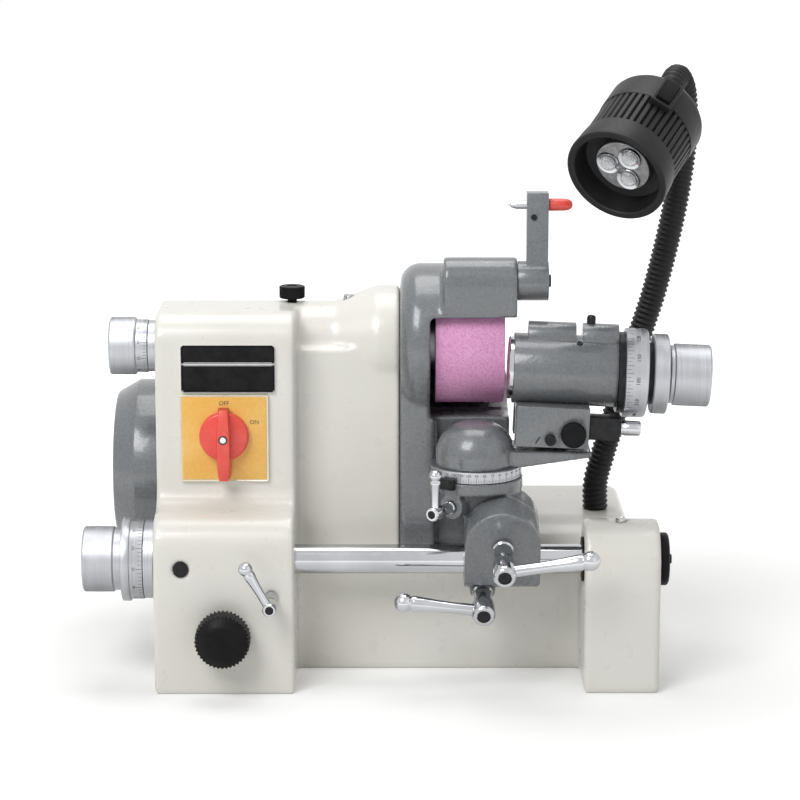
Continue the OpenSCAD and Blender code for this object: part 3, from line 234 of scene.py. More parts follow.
def apply_all(piece):
    """Applies the piece's modifiers in turn."""
    pick(piece)
    for modifier in list(piece.modifiers):
        bpy.ops.object.modifier_apply(modifier=modifier.name)


def as_cast(piece, grain, rounds):
    """Runs a casting's walls together and softens its edges, as sand casting and filler do."""
    skin = piece.modifiers.new("skin", "REMESH")
    skin.mode = "VOXEL"
    skin.voxel_size = grain
    soft = piece.modifiers.new("soft", "SMOOTH")
    soft.factor = 0.5
    soft.iterations = rounds
    apply_all(piece)
    bpy.ops.object.shade_smooth()
    return piece


def eased(piece, width, steps=2, limit=28):
    """Breaks a machined piece's sharp edges with a small round."""
    pick(piece)
    bpy.ops.object.mode_set(mode="EDIT")
    bpy.ops.mesh.select_all(action="SELECT")
    bpy.ops.mesh.dissolve_limited(angle_limit=math.radians(0.6))
    bpy.ops.object.mode_set(mode="OBJECT")
    edge = piece.modifiers.new("edge", "BEVEL")
    edge.width = width
    edge.segments = steps
    edge.limit_method = "ANGLE"
    edge.angle_limit = math.radians(limit)
    apply_all(piece)
    bpy.ops.object.shade_smooth_by_angle(angle=math.radians(32))
    return piece


ivory, tree, shader, place = new_material("ivory_enamel", (0.76, 0.745, 0.69), 0, 0.32)
tree.links.new(grade(tree, speckle(tree, place, 9, 4), [
    (0.30, (0.735, 0.72, 0.66)), (0.52, (0.765, 0.75, 0.695)), (0.75, (0.785, 0.775, 0.73))]),
    shader.inputs["Base Color"])
tree.links.new(spread(tree, speckle(tree, place, 60, 3), 0.26, 0.36), shader.inputs["Roughness"])
emboss(tree, shader, speckle(tree, place, 300, 1), 0.05, 0.0003)
shader.inputs["Coat Weight"].default_value = 0.25
shader.inputs["Coat Roughness"].default_value = 0.12

casting = as_cast(welded_copy("ivory_casting", "column", "spindle_housing", "bed", "end_bracket"), 0.0022, 5)
dress(casting, ivory, "machine", "column", "spindle_housing", "bed", "end_bracket")
cover = eased(welded_copy("motor_access_cover", "rear_cover"), 0.0012)
dress(cover, ivory, "machine", "rear_cover")

# Wheel guard, motor cover and dresser arm: iron and sheet in grey hammer-tone
# enamel, whose surface dries into small shallow cells.
hammer, tree, shader, place = new_material("grey_hammer_tone", (0.195, 0.205, 0.213), 0.1, 0.34)
cells = tree.nodes.new("ShaderNodeTexVoronoi")
cells.feature = "SMOOTH_F1"
cells.inputs["Scale"].default_value = 620
cells.inputs["Smoothness"].default_value = 0.9
warp = tree.nodes.new("ShaderNodeVectorMath")
warp.operation = "ADD"
drift = tree.nodes.new("ShaderNodeTexNoise")
drift.inputs["Scale"].default_value = 260
soft_drift = tree.nodes.new("ShaderNodeVectorMath")
soft_drift.operation = "SCALE"
soft_drift.inputs["Scale"].default_value = 0.0035
tree.links.new(place, drift.inputs["Vector"])
tree.links.new(drift.outputs["Color"], soft_drift.inputs[0])
tree.links.new(place, warp.inputs[0])
tree.links.new(soft_drift.outputs["Vector"], warp.inputs[1])
tree.links.new(warp.outputs["Vector"], cells.inputs["Vector"])
tree.links.new(grade(tree, cells.outputs["Distance"], [
    (0.05, (0.196, 0.207, 0.217)), (0.35, (0.172, 0.182, 0.191)), (0.70, (0.148, 0.157, 0.166))]),
    shader.inputs["Base Color"])
tree.links.new(spread(tree, speckle(tree, place, 90), 0.22, 0.34), shader.inputs["Roughness"])
emboss(tree, shader, cells.outputs["Distance"], 0.13, 0.0006)
shader.inputs["Coat Weight"].default_value = 0.4
shader.inputs["Coat Roughness"].default_value = 0.07

dresser = eased(welded_copy("dresser_arm_casting", "dresser_arm"), 0.0012)
dress(dresser, hammer, "dresser", "dresser_arm")


def turned(name, steps, sides=64, smooth=35):
    """Turns a round piece along +Z from (height, radius) steps; a tube ends on its first step."""
    bpy.ops.object.select_all(action="DESELECT")
    bpy.ops.mesh.primitive_circle_add(vertices=sides, radius=steps[0][1], fill_type="NGON", location=(0, 0, 0))
    piece = bpy.context.object
    piece.name = name
    bpy.ops.object.mode_set(mode="EDIT")
    bpy.ops.mesh.select_all(action="SELECT")
    for (h0, r0), (h1, r1) in zip(steps, steps[1:]):
        bpy.ops.mesh.extrude_region_move(TRANSFORM_OT_translate={"value": (0, 0, h1 - h0)})
        bpy.ops.transform.resize(value=(r1 / r0, r1 / r0, 1), center_override=(0, 0, 0))
    if steps[-1] == steps[0]:
        bpy.ops.mesh.delete(type="ONLY_FACE")
        bpy.ops.mesh.select_all(action="SELECT")
        bpy.ops.mesh.remove_doubles(threshold=0.000002)
    bpy.ops.mesh.select_all(action="DESELECT")
    bpy.ops.mesh.select_non_manifold()
    bpy.ops.object.mode_set(mode="OBJECT")
    loose_rim = any(edge.select for edge in piece.data.edges)
    bpy.ops.object.mode_set(mode="EDIT")
    if loose_rim:
        bpy.ops.mesh.edge_face_add()
    bpy.ops.mesh.select_all(action="SELECT")
    bpy.ops.transform.translate(value=(0, 0, steps[0][0]))
    bpy.ops.mesh.normals_make_consistent(inside=False)
    bpy.ops.object.mode_set(mode="OBJECT")
    bpy.ops.object.shade_smooth_by_angle(angle=math.radians(smooth))
    return piece


def put(piece, matrix):
    """Moves a piece to its place and leaves that place in its mesh."""
    pick(piece)
    piece.matrix_world = matrix
    bpy.ops.object.transform_apply(location=True, rotation=True, scale=True)
    return piece


def facing(x, y, z, way):
    """Place for a piece turned along +Z: its axis to the right, the left, the front or up."""
    turn = {"right": Matrix.Rotation(math.pi / 2, 4, "Y"), "left": Matrix.Rotation(-math.pi / 2, 4, "Y"),
            "front": Matrix.Rotation(math.pi / 2, 4, "X"), "up": Matrix.Identity(4)}[way]
    return Matrix.Translation((x, y, z)) @ turn


wheel_y, wheel_z = -0.008, 0.2375
boss_y, boss_z = -0.040, 0.2863
motor_shell = turned("motor_cover_pressing", [
    (0.0, 0.0580), (0.0, 0.0637), (0.0006, 0.0643), (0.0016, 0.0645), (0.0212, 0.0645), (0.0222, 0.0643),
    (0.0231, 0.0639), (0.0368, 0.0561), (0.0378, 0.0553), (0.0384, 0.0542), (0.0394, 0.0440), (0.0402, 0.0300),
    (0.0408, 0.0150), (0.0410, 0.0002)], 96, 20)
dress(put(motor_shell, facing(-0.180, 0.052, 0.130, "left")), hammer, "machine", "motor_cover")


def block(name, low, high):
    """A box between two corners, ready to be shaped."""
    bpy.ops.object.select_all(action="DESELECT")
    low, high = Vector(low), Vector(high)
    bpy.ops.mesh.primitive_cube_add(size=1, location=(low + high) / 2)
    piece = bpy.context.object
    piece.name = name
    piece.scale = high - low
    bpy.ops.object.transform_apply(location=True, rotation=True, scale=True)
    return piece


def fuse(*parts):
    """Joins parts of one piece into the last one."""
    pick(*parts)
    bpy.ops.object.join()
    return bpy.context.object


def carve(piece, tool, way):
    """Cuts a closed shape from a piece, or joins it on, and uses the shape up."""
    work = piece.modifiers.new("work", "BOOLEAN")
    work.operation = way
    work.object = tool
    work.solver = "EXACT"
    apply_all(piece)
    pick(tool)
    bpy.ops.object.delete()


visor = block("guard_visor", (0.026, -0.0575, 0.2620), (0.079, boss_y, boss_z))
wheel_room = put(turned("wheel_room", [(0, 0.051), (0.09, 0.051)], 96), facing(0, wheel_y, wheel_z, "right"))
carve(visor, wheel_room, "DIFFERENCE")
guard = as_cast(fuse(visor, welded_copy("wheel_guard_casting", "wheel_guard")), 0.0016, 4)
dress(guard, hammer, "machine", "wheel_guard")

# Plate above the switch: black printed aluminium stuck to the panel, bare but
# for its bright rim and one bright line across it.
plate_black, tree, shader, place = new_material("printed_black", (0.009, 0.009, 0.010), 0, 0.38)
tree.links.new(grade(tree, speckle(tree, place, 120), [(0.3, (0.008, 0.008, 0.009)), (0.7, (0.018, 0.018, 0.019))]),
               shader.inputs["Base Color"])
tree.links.new(spread(tree, speckle(tree, place, 500), 0.28, 0.42), shader.inputs["Roughness"])
shader.inputs["Specular IOR Level"].default_value = 0.08
plate_white, tree, shader, place = new_material("bare_aluminium_line", (0.80, 0.80, 0.79), 0.5, 0.35)
tree.links.new(spread(tree, speckle(tree, place, 700), 0.28, 0.45), shader.inputs["Roughness"])
plate_low, plate_high = (Vector(corner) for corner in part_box("nameplate"))
plate_mid_y = (plate_low.y + plate_high.y) / 2


def rounded_sheet(name, low, high, corner):
    """A thin sheet on the panel with its four corners rounded."""
    sheet = block(name, low, high)
    bpy.ops.object.mode_set(mode="EDIT")
    bpy.ops.mesh.select_all(action="DESELECT")
    bpy.ops.object.mode_set(mode="OBJECT")
    for edge in sheet.data.edges:
        a, b = (sheet.data.vertices[i].co for i in edge.vertices)
        edge.select = abs(a.y - b.y) > 0.5 * (high[1] - low[1])
    bpy.ops.object.mode_set(mode="EDIT")
    bpy.ops.mesh.bevel(offset=corner, segments=6, affect="EDGES")
    bpy.ops.object.mode_set(mode="OBJECT")
    return sheet


rim = 0.0005
line_half = 0.0006
line_share = 0.594
ink_proud = 0.00015
plate_rim = eased(rounded_sheet("plate_rim", plate_low, plate_high, 0.0024), 0.0001, 1)
dress(plate_rim, plate_white, "machine", "nameplate")
line_z = plate_low.z + line_share * (plate_high.z - plate_low.z)
for field_name, z0, z1 in (
        ("plate_lower_field", plate_low.z + rim, line_z - line_half),
        ("plate_upper_field", line_z + line_half, plate_high.z - rim)):
    field = rounded_sheet(field_name, (plate_low.x + rim, plate_low.y - ink_proud, z0),
                          (plate_high.x - rim, plate_mid_y, z1), 0.0012)
    eased(field, 0.0001, 1)
    dress(field, plate_black, "machine")

# Rotary switch: yellow plate in a thin clear frame, and a red moulded handle with
# a waisted grip, held by a screw in its middle.


def lettering(name, words, size, matrix, finish, body):
    """Printed figures as thin raised ink."""
    bpy.ops.object.select_all(action="DESELECT")
    bpy.ops.object.text_add(location=(0, 0, 0))
    ink = bpy.context.object
    ink.name = name
    ink.data.body = words
    ink.data.size = size
    ink.data.align_x = "CENTER"
    ink.data.align_y = "CENTER"
    ink.data.extrude = 0.00004
    ink.data.resolution_u = 3
    bpy.ops.object.convert(target="MESH")
    put(ink, matrix)
    dress(ink, finish, body)


yellow, tree, shader, place = new_material("switch_yellow", (0.80, 0.50, 0.09), 0, 0.30)
tree.links.new(grade(tree, speckle(tree, place, 45), [(0.3, (0.84, 0.46, 0.08)), (0.7, (0.90, 0.56, 0.15))]),
               shader.inputs["Base Color"])
tree.links.new(spread(tree, speckle(tree, place, 300), 0.22, 0.34), shader.inputs["Roughness"])
clear_rim, tree, shader, place = new_material("switch_clear_frame", (0.83, 0.80, 0.66), 0, 0.18)
tree.links.new(grade(tree, speckle(tree, place, 80), [(0.3, (0.80, 0.76, 0.60)), (0.7, (0.86, 0.84, 0.72))]),
               shader.inputs["Base Color"])
shader.inputs["Coat Weight"].default_value = 0.4
red, tree, shader, place = new_material("red_moulding", (0.72, 0.055, 0.040), 0, 0.30)
tree.links.new(grade(tree, speckle(tree, place, 70), [(0.3, (0.78, 0.075, 0.056)), (0.7, (0.86, 0.110, 0.084))]),
               shader.inputs["Base Color"])
tree.links.new(spread(tree, speckle(tree, place, 600), 0.24, 0.40), shader.inputs["Roughness"])
emboss(tree, shader, speckle(tree, place, 1500, 1), 0.06, 0.0002)
# Dark ink for the printed words, lines and figures, also used as painted shade in the switch screw's recess.
ink_and_recess_shade, tree, shader, place = new_material("ink_and_recess_shade", (0.02, 0.02, 0.022), 0, 0.5)
tree.links.new(spread(tree, speckle(tree, place, 400), 0.42, 0.60), shader.inputs["Roughness"])

switch_low, switch_high = (Vector(corner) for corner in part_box("switch_plate"))
switch_frame = block("switch_frame", switch_low, switch_high)
bpy.ops.object.mode_set(mode="EDIT")
bpy.ops.mesh.select_all(action="DESELECT")
bpy.ops.object.mode_set(mode="OBJECT")
for face in switch_frame.data.polygons:
    face.select = face.normal.y < -0.9
bpy.ops.object.mode_set(mode="EDIT")
bpy.ops.mesh.inset(thickness=0.0012)
bpy.ops.transform.translate(value=(0, 0.0011, 0))
bpy.ops.object.mode_set(mode="OBJECT")
eased(switch_frame, 0.0007)
dress(switch_frame, clear_rim, "machine", "switch_plate")
frame_rim = 0.0014
switch_face = eased(block(
    "switch_face", (switch_low.x + frame_rim, switch_low.y + 0.0004, switch_low.z + frame_rim),
    (switch_high.x - frame_rim, switch_low.y + 0.0016, switch_high.z - frame_rim)), 0.0003)
dress(switch_face, yellow, "machine")
switch_x, switch_z = -0.1305, 0.180
ink_y = switch_low.y + 0.00035
print_size = 0.0042
for print_name, words, x, z in (("off_print", "OFF", switch_x, switch_z + 0.0232),
                                ("on_print", "ON", switch_x + 0.0215, switch_z + 0.0095)):
    lettering(print_name, words, print_size, facing(x, ink_y, z, "front"), ink_and_recess_shade, "machine")

handle_y = switch_low.y - 0.0004
handle_disc = put(turned("switch_grip", [
    (0, 0.0165), (0.0004, 0.0174), (0.0012, 0.0177), (0.0042, 0.0176), (0.0054, 0.0170), (0.0060, 0.0158)], 72, 50),
    facing(switch_x, handle_y, switch_z, "front"))
grip_low, grip_high, grip_front = switch_z - 0.0305, switch_z + 0.0205, handle_y - 0.0160
grip_half = 0.0055
grip = block("switch_grip", (switch_x - grip_half, grip_front, grip_low),
             (switch_x + grip_half, handle_y - 0.0010, grip_high))
bpy.ops.object.mode_set(mode="EDIT")
bpy.ops.mesh.select_all(action="SELECT")
bpy.ops.mesh.subdivide(number_cuts=9)
bpy.ops.object.mode_set(mode="OBJECT")
for point in grip.data.vertices:
    along = (point.co.z - grip_low) / (grip_high - grip_low)
    swell = 0.62 + 0.50 * math.sin(math.pi * min(1, max(0, along * 0.86 + 0.10))) ** 0.8
    narrow = 1 - 0.30 * (handle_y - point.co.y) / (handle_y - grip_front)
    point.co.x = switch_x + (point.co.x - switch_x) * swell * narrow
    if point.co.y < handle_y - 0.0060:
        point.co.y += 0.0030 * (2 * abs(along - 0.5)) ** 3
eased(grip, 0.0012, 3, 40)
handle = dress(fuse(handle_disc, grip), red, "switch", "switch_handle")
grip_seat = facing(switch_x, grip_front, switch_z, "front")
# A near-black disc round the handle screw stands for its recess: painted shade.
screw_recess = put(turned("switch_screw_recess_shade", [
    (-0.0010, 0.0033), (0.0001, 0.0033), (0.0002, 0.0031), (0.0002, 0.0003)], 28), grip_seat)
dress(screw_recess, ink_and_recess_shade, "switch")
handle_screw = put(turned("switch_handle_screw", [
    (0, 0.0022), (0.0004, 0.0022), (0.0006, 0.0018), (0.0006, 0.0003)], 24), grip_seat)
dress(handle_screw, plate_white, "switch")

# Turned and knurled steel: feed knobs with graduated sleeves, ground parts and
# the drawbar knob, bright from the lathe with fine rings along the axis.
steel, tree, shader, place = new_material("turned_steel", (0.43, 0.44, 0.46), 1, 0.36)
rings = tree.nodes.new("ShaderNodeMapping")
rings.inputs["Scale"].default_value = (2600, 22, 22)
tree.links.new(place, rings.inputs["Vector"])
ring_noise = speckle(tree, rings.outputs["Vector"], 1, 2)
tree.links.new(grade(tree, ring_noise, [(0.25, (0.36, 0.37, 0.39)), (0.75, (0.50, 0.51, 0.535))]),
               shader.inputs["Base Color"])
tree.links.new(spread(tree, ring_noise, 0.30, 0.44), shader.inputs["Roughness"])
emboss(tree, shader, ring_noise, 0.05, 0.0001)


def knurled(name, steps, band, count, depth, sides_each=4, straight=False, flat=1):
    """Turns a knob and rolls a knurl, or straight ribs with flat tops, into the band between two heights."""
    low, high = band
    fine = []
    for (h0, r0), (h1, r1) in zip(steps, steps[1:]):
        fine.append((h0, r0))
        if low <= h0 < high and h1 - h0 > 0.002:
            cuts = max(2, int((h1 - h0) / (2 * math.pi * r0 / count / 4)))
            fine += [(h0 + (h1 - h0) * i / cuts, r0) for i in range(1, cuts)]
    fine.append(steps[-1])
    knob = turned(name, fine, count * sides_each, 25)
    grip_r = steps[len(steps) // 2][1]
    pitch = 2 * math.pi * grip_r / count
    for point in knob.data.vertices:
        if low < point.co.z < high and math.hypot(point.co.x, point.co.y) > 0.7 * grip_r:
            around = math.atan2(point.co.y, point.co.x) / (2 * math.pi) * count
            along = 0 if straight else point.co.z / pitch
            rise = min(1, flat * 2 * min(abs((around + along) % 1 - 0.5), abs((around - along) % 1 - 0.5)))
            radius = math.hypot(point.co.x, point.co.y)
            point.co.x *= 1 + depth * (rise - 0.8) / radius
            point.co.y *= 1 + depth * (rise - 0.8) / radius
    return knob


def ticks(name, radius, start, length, count, width=0.00022):
    """A ring of engraved lines along a drum."""
    line = block(name, (radius - 0.0002, -width / 2, start), (radius + 0.00004, width / 2, start + length))
    bpy.ops.object.empty_add(location=(0, 0, 0), rotation=(0, 0, 2 * math.pi / count))
    step = bpy.context.object
    ring = line.modifiers.new("ring", "ARRAY")
    ring.use_relative_offset = False
    ring.use_object_offset = True
    ring.offset_object = step
    ring.count = count
    apply_all(line)
    pick(step)
    bpy.ops.object.delete()
    return line


def drum_figure(name, words, size, radius, height, angle, tilt, matrix, finish, body):
    """A figure stamped on a drum, its top towards the drum's end at 90 and its start at -90."""
    stand = Matrix.Rotation(math.pi / 2, 4, "Y") @ Matrix.Rotation(math.radians(tilt), 4, "Z")
    lettering(name, words, size, matrix @ Matrix.Rotation(angle, 4, "Z")
              @ Matrix.Translation((radius, 0, height)) @ stand, finish, body)


top_place = facing(-0.1854, -0.046, 0.240, "left")
top_knob = knurled("spindle_feed_micrometer", [
    (0.0, 0.0150), (0.0, 0.0186), (0.0004, 0.0190), (0.0083, 0.0190), (0.0087, 0.0198), (0.0091, 0.0203),
    (0.0099, 0.0207), (0.0267, 0.0207), (0.0277, 0.0198), (0.0277, 0.0150), (0.0271, 0.0140), (0.0271, 0.0020)],
    (0.0098, 0.0268), 76, 0.0006)
dress(put(top_knob, top_place), steel, "spindle_feed", "spindle_feed_knob")
bar_y, bar_z = -0.085, 0.092
low_place = facing(-0.203, bar_y, bar_z, "left")
low_knob = knurled("bar_feed_handwheel", [
    (0.0, 0.0180), (0.0, 0.0220), (0.0004, 0.0224), (0.0056, 0.0224), (0.0060, 0.0228), (0.0068, 0.0235),
    (0.0270, 0.0235), (0.0280, 0.0226), (0.0280, 0.0170), (0.0273, 0.0160), (0.0273, 0.0020)],
    (0.0066, 0.0271), 84, 0.0006)
dress(put(low_knob, low_place), steel, "bar_feed", "bar_feed_knob")
drum = eased(welded_copy("bar_feed_drum_ring", "bar_feed_drum"), 0.0006)
dress(drum, steel, "bar_feed", "bar_feed_drum")
for sleeve_name, seat, radius, body, share in (
        ("top", top_place, 0.0190, "spindle_feed", 50),
        ("low", facing(-0.1874, bar_y, bar_z, "left"), 0.0285, "bar_feed", 60)):
    fine_lines = put(ticks(sleeve_name + "_fine_lines", radius, 0.0005, 0.0028, share), seat)
    long_lines = put(ticks(sleeve_name + "_long_lines", radius, 0.0005, 0.0044, share // 5, 0.0003), seat)
    dress(fuse(fine_lines, long_lines), ink_and_recess_shade, body)
    for i in range(share // 5):
        drum_figure(sleeve_name + "_figure_%02d" % i, str(i * 5), 0.0030, radius, 0.0062, i * 10 * math.pi / share,
                    90, seat, ink_and_recess_shade, body)
for node in ("feed_sleeves", "thrust_sleeve", "quill", "spindle_bearings", "spindle_shaft", "wheel_flange",
             "wheel_nut", "spindle_pulley", "motor_shaft", "motor_pulley", "motor_stator"):
    paint_solid(node, steel)

# Clamp levers: chromed steel, a hub with a socket screw in its end and a
# tapered handle that finishes in a ball.
chrome, tree, shader, place = new_material("polished_chrome", (0.52, 0.53, 0.55), 1, 0.1)
tree.links.new(spread(tree, speckle(tree, place, 150), 0.07, 0.16), shader.inputs["Roughness"])
tree.links.new(grade(tree, speckle(tree, place, 25), [(0.3, (0.47, 0.48, 0.50)), (0.7, (0.57, 0.58, 0.60))]),
               shader.inputs["Base Color"])
black_oxide, tree, shader, place = new_material("blackened_steel", (0.012, 0.012, 0.014), 0.3, 0.38)
tree.links.new(grade(tree, speckle(tree, place, 200), [(0.3, (0.008, 0.008, 0.009)), (0.7, (0.020, 0.020, 0.022))]),
               shader.inputs["Base Color"])
tree.links.new(spread(tree, speckle(tree, place, 700), 0.28, 0.46), shader.inputs["Roughness"])
shader.inputs["Specular IOR Level"].default_value = 0.3
# Near-black sheet for the inside of a screw socket: painted shade.
socket_shade, tree, shader, place = new_material("socket_painted_shade", (0.003, 0.003, 0.003), 0, 0.8)
tree.links.new(spread(tree, speckle(tree, place, 300), 0.7, 0.9), shader.inputs["Roughness"])


def socket_screw(name, radius, height, matrix, body, *nodes):
    """A socket head cap screw; its six-sided socket is a near-black sheet in the head, painted shade of the deep hole.
    """
    head = put(turned(name, [
        (0, radius * 0.9), (0, radius), (height * 0.86, radius), (height, radius * 0.90), (height, radius * 0.60),
        (height * 0.97, radius * 0.56), (height * 0.97, radius * 0.1)], 40), matrix)
    dress(head, black_oxide, body, *nodes)
    hole = put(turned(name + "_socket", [(height * 0.9, radius * 0.50), (height * 0.975, radius * 0.52),
                                         (height * 0.985, radius * 0.50)], 6, 10), matrix)
    dress(hole, socket_shade, body)


lean = Matrix.Translation((0, bar_y, bar_z)) @ Matrix.Rotation(math.radians(15), 4, "X")
to_front = Matrix.Rotation(math.pi / 2, 4, "X")
front_y = -0.115
swivel_seat = Matrix.Translation((0.049, -0.072, 0))
side_face = (swivel_seat @ Matrix.Rotation(math.radians(238), 4, "Z")
             @ Matrix.Translation((0.034, 0, 0.13405)) @ Matrix.Rotation(math.pi / 2, 4, "Y"))
for lever_name, body, node, seat, hub_l, hub_r, reach, ball, angle in (
        ("column_clamp_handle", "column_clamp", "column_lever", facing(-0.096, front_y, 0.072, "front"),
         0.034, 0.005, 0.033, 0.005, 120),
        ("bar_clamp_handle", "bar_clamp", "bar_lever", lean @ Matrix.Translation((0.054, -0.015, -0.018)) @ to_front,
         0.035, 0.0082, 0.0566, 0.007, 173),
        ("tilt_clamp_handle", "tilt_clamp", "tilt_lever", lean @ Matrix.Translation((0.0675, -0.026, 0.024)) @ to_front,
         0.042, 0.0082, 0.060, 0.007, 9),
        ("swivel_clamp_handle", "swivel_clamp", "swivel_lever", side_face, 0.026, 0.005, 0.027, 0.0046, 180)):
    hub = turned(lever_name, [
        (0.0004, hub_r * 0.86), (0.0010, hub_r * 0.92), (hub_l * 0.10, hub_r * 0.92), (hub_l * 0.13, hub_r * 0.80),
        (hub_l * 0.50, hub_r * 0.76), (hub_l * 0.56, hub_r * 0.96), (hub_l * 0.60, hub_r), (hub_l * 0.95, hub_r),
        (hub_l * 0.985, hub_r * 0.95), (hub_l + 0.0004, hub_r * 0.84), (hub_l + 0.0004, hub_r * 0.60),
        (hub_l * 0.97, hub_r * 0.57), (hub_l * 0.97, hub_r * 0.05)], 40)
    stem = [(0, ball * 0.64), (reach * 0.20, ball * 0.60), (reach * 0.40, ball * 0.60), (reach * 0.58, ball * 0.66),
            (reach * 0.74, ball * 0.76), (reach - ball * 1.25, ball * 0.84), (reach - ball * 0.90, ball * 0.84),
            (reach - ball * 0.70, ball * 0.76)]
    stem += [(reach + ball * math.sin(math.radians(a)), ball * math.cos(math.radians(a))) for a in range(-38, 90, 9)]
    handle = put(turned(lever_name, stem + [(reach + ball, ball * 0.02)], 32, 50),
                 Matrix.Translation((0, 0, 0.0004 + hub_l - hub_r)) @ Matrix.Rotation(math.radians(angle), 4, "Z")
                 @ Matrix.Rotation(math.pi / 2, 4, "Y"))
    lever = fuse(hub, handle)
    dress(put(lever, seat), chrome, body, node)
    socket_screw(lever_name + "_screw", hub_r * 0.55, 0.0012, seat @ Matrix.Translation((0, 0, hub_l * 0.972)), body)
paint_solid("slide_bar", chrome)

# Brackets between bar and head: split clamp, tilt bracket and swivel arm are
# small iron castings in the same hammer-tone grey, on a graduated steel ring.
for cast_name, node, body, grain in (
        ("bar_clamp_bracket", "bar_bracket", "bracket", 0.0009),
        ("tilt_bracket_casting", "tilt_bracket", "tilt_unit", 0.0010),
        ("swivel_arm_casting", "swivel_arm", "swivel_unit", 0.0011)):
    iron = as_cast(welded_copy(cast_name, node), grain, 3)
    dress(iron, hammer, body, node)
ring_r = 0.0330
scale_ring = put(turned("swivel_scale_ring", [
    (0.1514, 0.0300), (0.1514, 0.0326), (0.1518, ring_r), (0.1590, ring_r), (0.1594, 0.0326), (0.1594, 0.0280)],
    120), swivel_seat)
dress(scale_ring, steel, "swivel_unit", "swivel_ring")
ring_lines = fuse(put(ticks("ring_lines", ring_r, 0.1516, 0.0026, 180, 0.00020), swivel_seat),
                  put(ticks("ring_lines", ring_r, 0.1516, 0.0042, 36, 0.00030), swivel_seat))
dress(ring_lines, ink_and_recess_shade, "swivel_unit")
for i in range(36):
    drum_figure("ring_figure_%02d" % i, str(min(i, 36 - i) * 10), 0.0026, ring_r, 0.1573, i * math.pi / 18, 90,
                swivel_seat, ink_and_recess_shade, "swivel_unit")
pointer = eased(welded_copy("swivel_zero_mark", "swivel_pointer"), 0.0006)
dress(pointer, black_oxide, "tilt_unit", "swivel_pointer")

# Work head: painted block and barrel, index dial with figures every thirty
# degrees, bright spindle nose, and a knurled collar and drawbar knob behind.
head_seat = Matrix.Translation((0.076, -0.056, 0.226)) @ Matrix.Rotation(math.radians(2.5), 4, "Y")
head_axis = head_seat @ Matrix.Rotation(math.pi / 2, 4, "Y")
block_front = -0.030
for head_name, node, width in (
        ("head_block_casting", "head_block", 0.0010), ("head_barrel_casting", "head_barrel", 0.0012)):
    iron = eased(welded_copy(head_name, node), width)
    dress(iron, hammer, "head", node)
index_block = eased(welded_copy("index_pin_block", "index_bracket"), 0.0008)
dress(index_block, black_oxide, "head", "index_bracket")
spindle_bar = put(turned("work_spindle_bar", [
    (-0.0035, 0.0101), (-0.0035, 0.0218), (-0.0028, 0.0225), (-0.0004, 0.0225), (-0.0004, 0.0160),
    (0.1114, 0.0160), (0.1114, 0.0090), (0.1388, 0.0090), (0.1388, 0.0064), (0.0245, 0.0064),
    (0.0245, 0.0101), (-0.0035, 0.0101)], 80), head_axis)
dress(spindle_bar, chrome, "work_unit", "work_spindle")
dial_r = 0.0320
dial = put(turned("index_dial_ring", [
    (0.0788, 0.0200), (0.0788, 0.0313), (0.0794, dial_r), (0.0926, dial_r), (0.0948, 0.0312), (0.0953, 0.0304),
    (0.0953, 0.0200), (0.0788, 0.0200)], 120), head_axis)
dress(dial, steel, "work_unit", "index_dial")
neck_r, ring_ease, ring_room = 0.0165, 0.0004, 0.0002
# Narrow black rings fill the gaps before and after the dial.
for ring_name, start, end, radius in (
        ("dial_back_dark_ring", 0.0743, 0.0788, 0.0290), ("dial_neck_ring", 0.0953, 0.0991, 0.0220)):
    dark_ring = put(turned(ring_name, [
        (start, neck_r), (start, radius - ring_ease), (start + ring_ease, radius), (end - ring_room, radius),
        (end - ring_room, neck_r), (start, neck_r)], 96), head_axis)
    dress(dark_ring, black_oxide, "work_unit")
dial_lines = fuse(put(ticks("dial_lines", dial_r, 0.0796, 0.0028, 72, 0.00024), head_axis),
                  put(ticks("dial_lines", dial_r, 0.0796, 0.0044, 36, 0.00030), head_axis))
dress(dial_lines, ink_and_recess_shade, "work_unit")
for i in range(12):
    drum_figure("dial_figure_%02d" % i, str(i * 30), 0.0040, dial_r, 0.0876, i * math.pi / 6 + math.pi / 2, -90,
                head_axis, ink_and_recess_shade, "work_unit")
collar = put(knurled("spindle_collar", [
    (0.0991, neck_r), (0.0991, 0.0274), (0.0996, 0.0282), (0.1003, 0.0287), (0.1093, 0.0287), (0.1099, 0.0283),
    (0.1104, 0.0276), (0.1104, neck_r), (0.0991, neck_r)], (0.1002, 0.1094), 150, 0.0003), head_axis)
dress(collar, steel, "work_unit")
collet = eased(welded_copy("collet_nose", "collet"), 0.0005)
dress(collet, steel, "work_unit", "collet")
draw_knob = put(knurled("drawbar_handwheel", [
    (0.1118, 0.00905), (0.1118, 0.0205), (0.1122, 0.0209), (0.1144, 0.0209), (0.1148, 0.0218), (0.1152, 0.0223),
    (0.1398, 0.0223), (0.1408, 0.0214), (0.1408, 0.0072), (0.1403, 0.0064), (0.1398, 0.0064), (0.1398, 0.00905),
    (0.1118, 0.00905)],
    (0.1151, 0.1399), 116, 0.0003), head_axis)
dress(draw_knob, steel, "drawbar", "drawbar_knob")
pin_axis = head_seat @ Matrix.Translation((0.077, -0.020, -0.0365)) @ Matrix.Rotation(math.pi / 2, 4, "Y")
plunger = put(turned("index_plunger", [
    (-0.0158, 0.0025), (0.0004, 0.0025), (0.0004, 0.0046), (0.0010, 0.0051), (0.0030, 0.0051), (0.0036, 0.0055),
    (0.0138, 0.0055), (0.0148, 0.0050), (0.0153, 0.0040)], 40), pin_axis)
dress(plunger, chrome, "index", "index_pin")
socket_screw("block_pivot_screw", 0.0039, 0.0060,
             head_seat @ Matrix.Translation((0.0276, block_front, -0.0448)) @ to_front, "head")
zero_mark = block("block_zero_mark", (-0.0005, -0.0002, -0.0029), (0.0005, 0.0004, 0.0029))
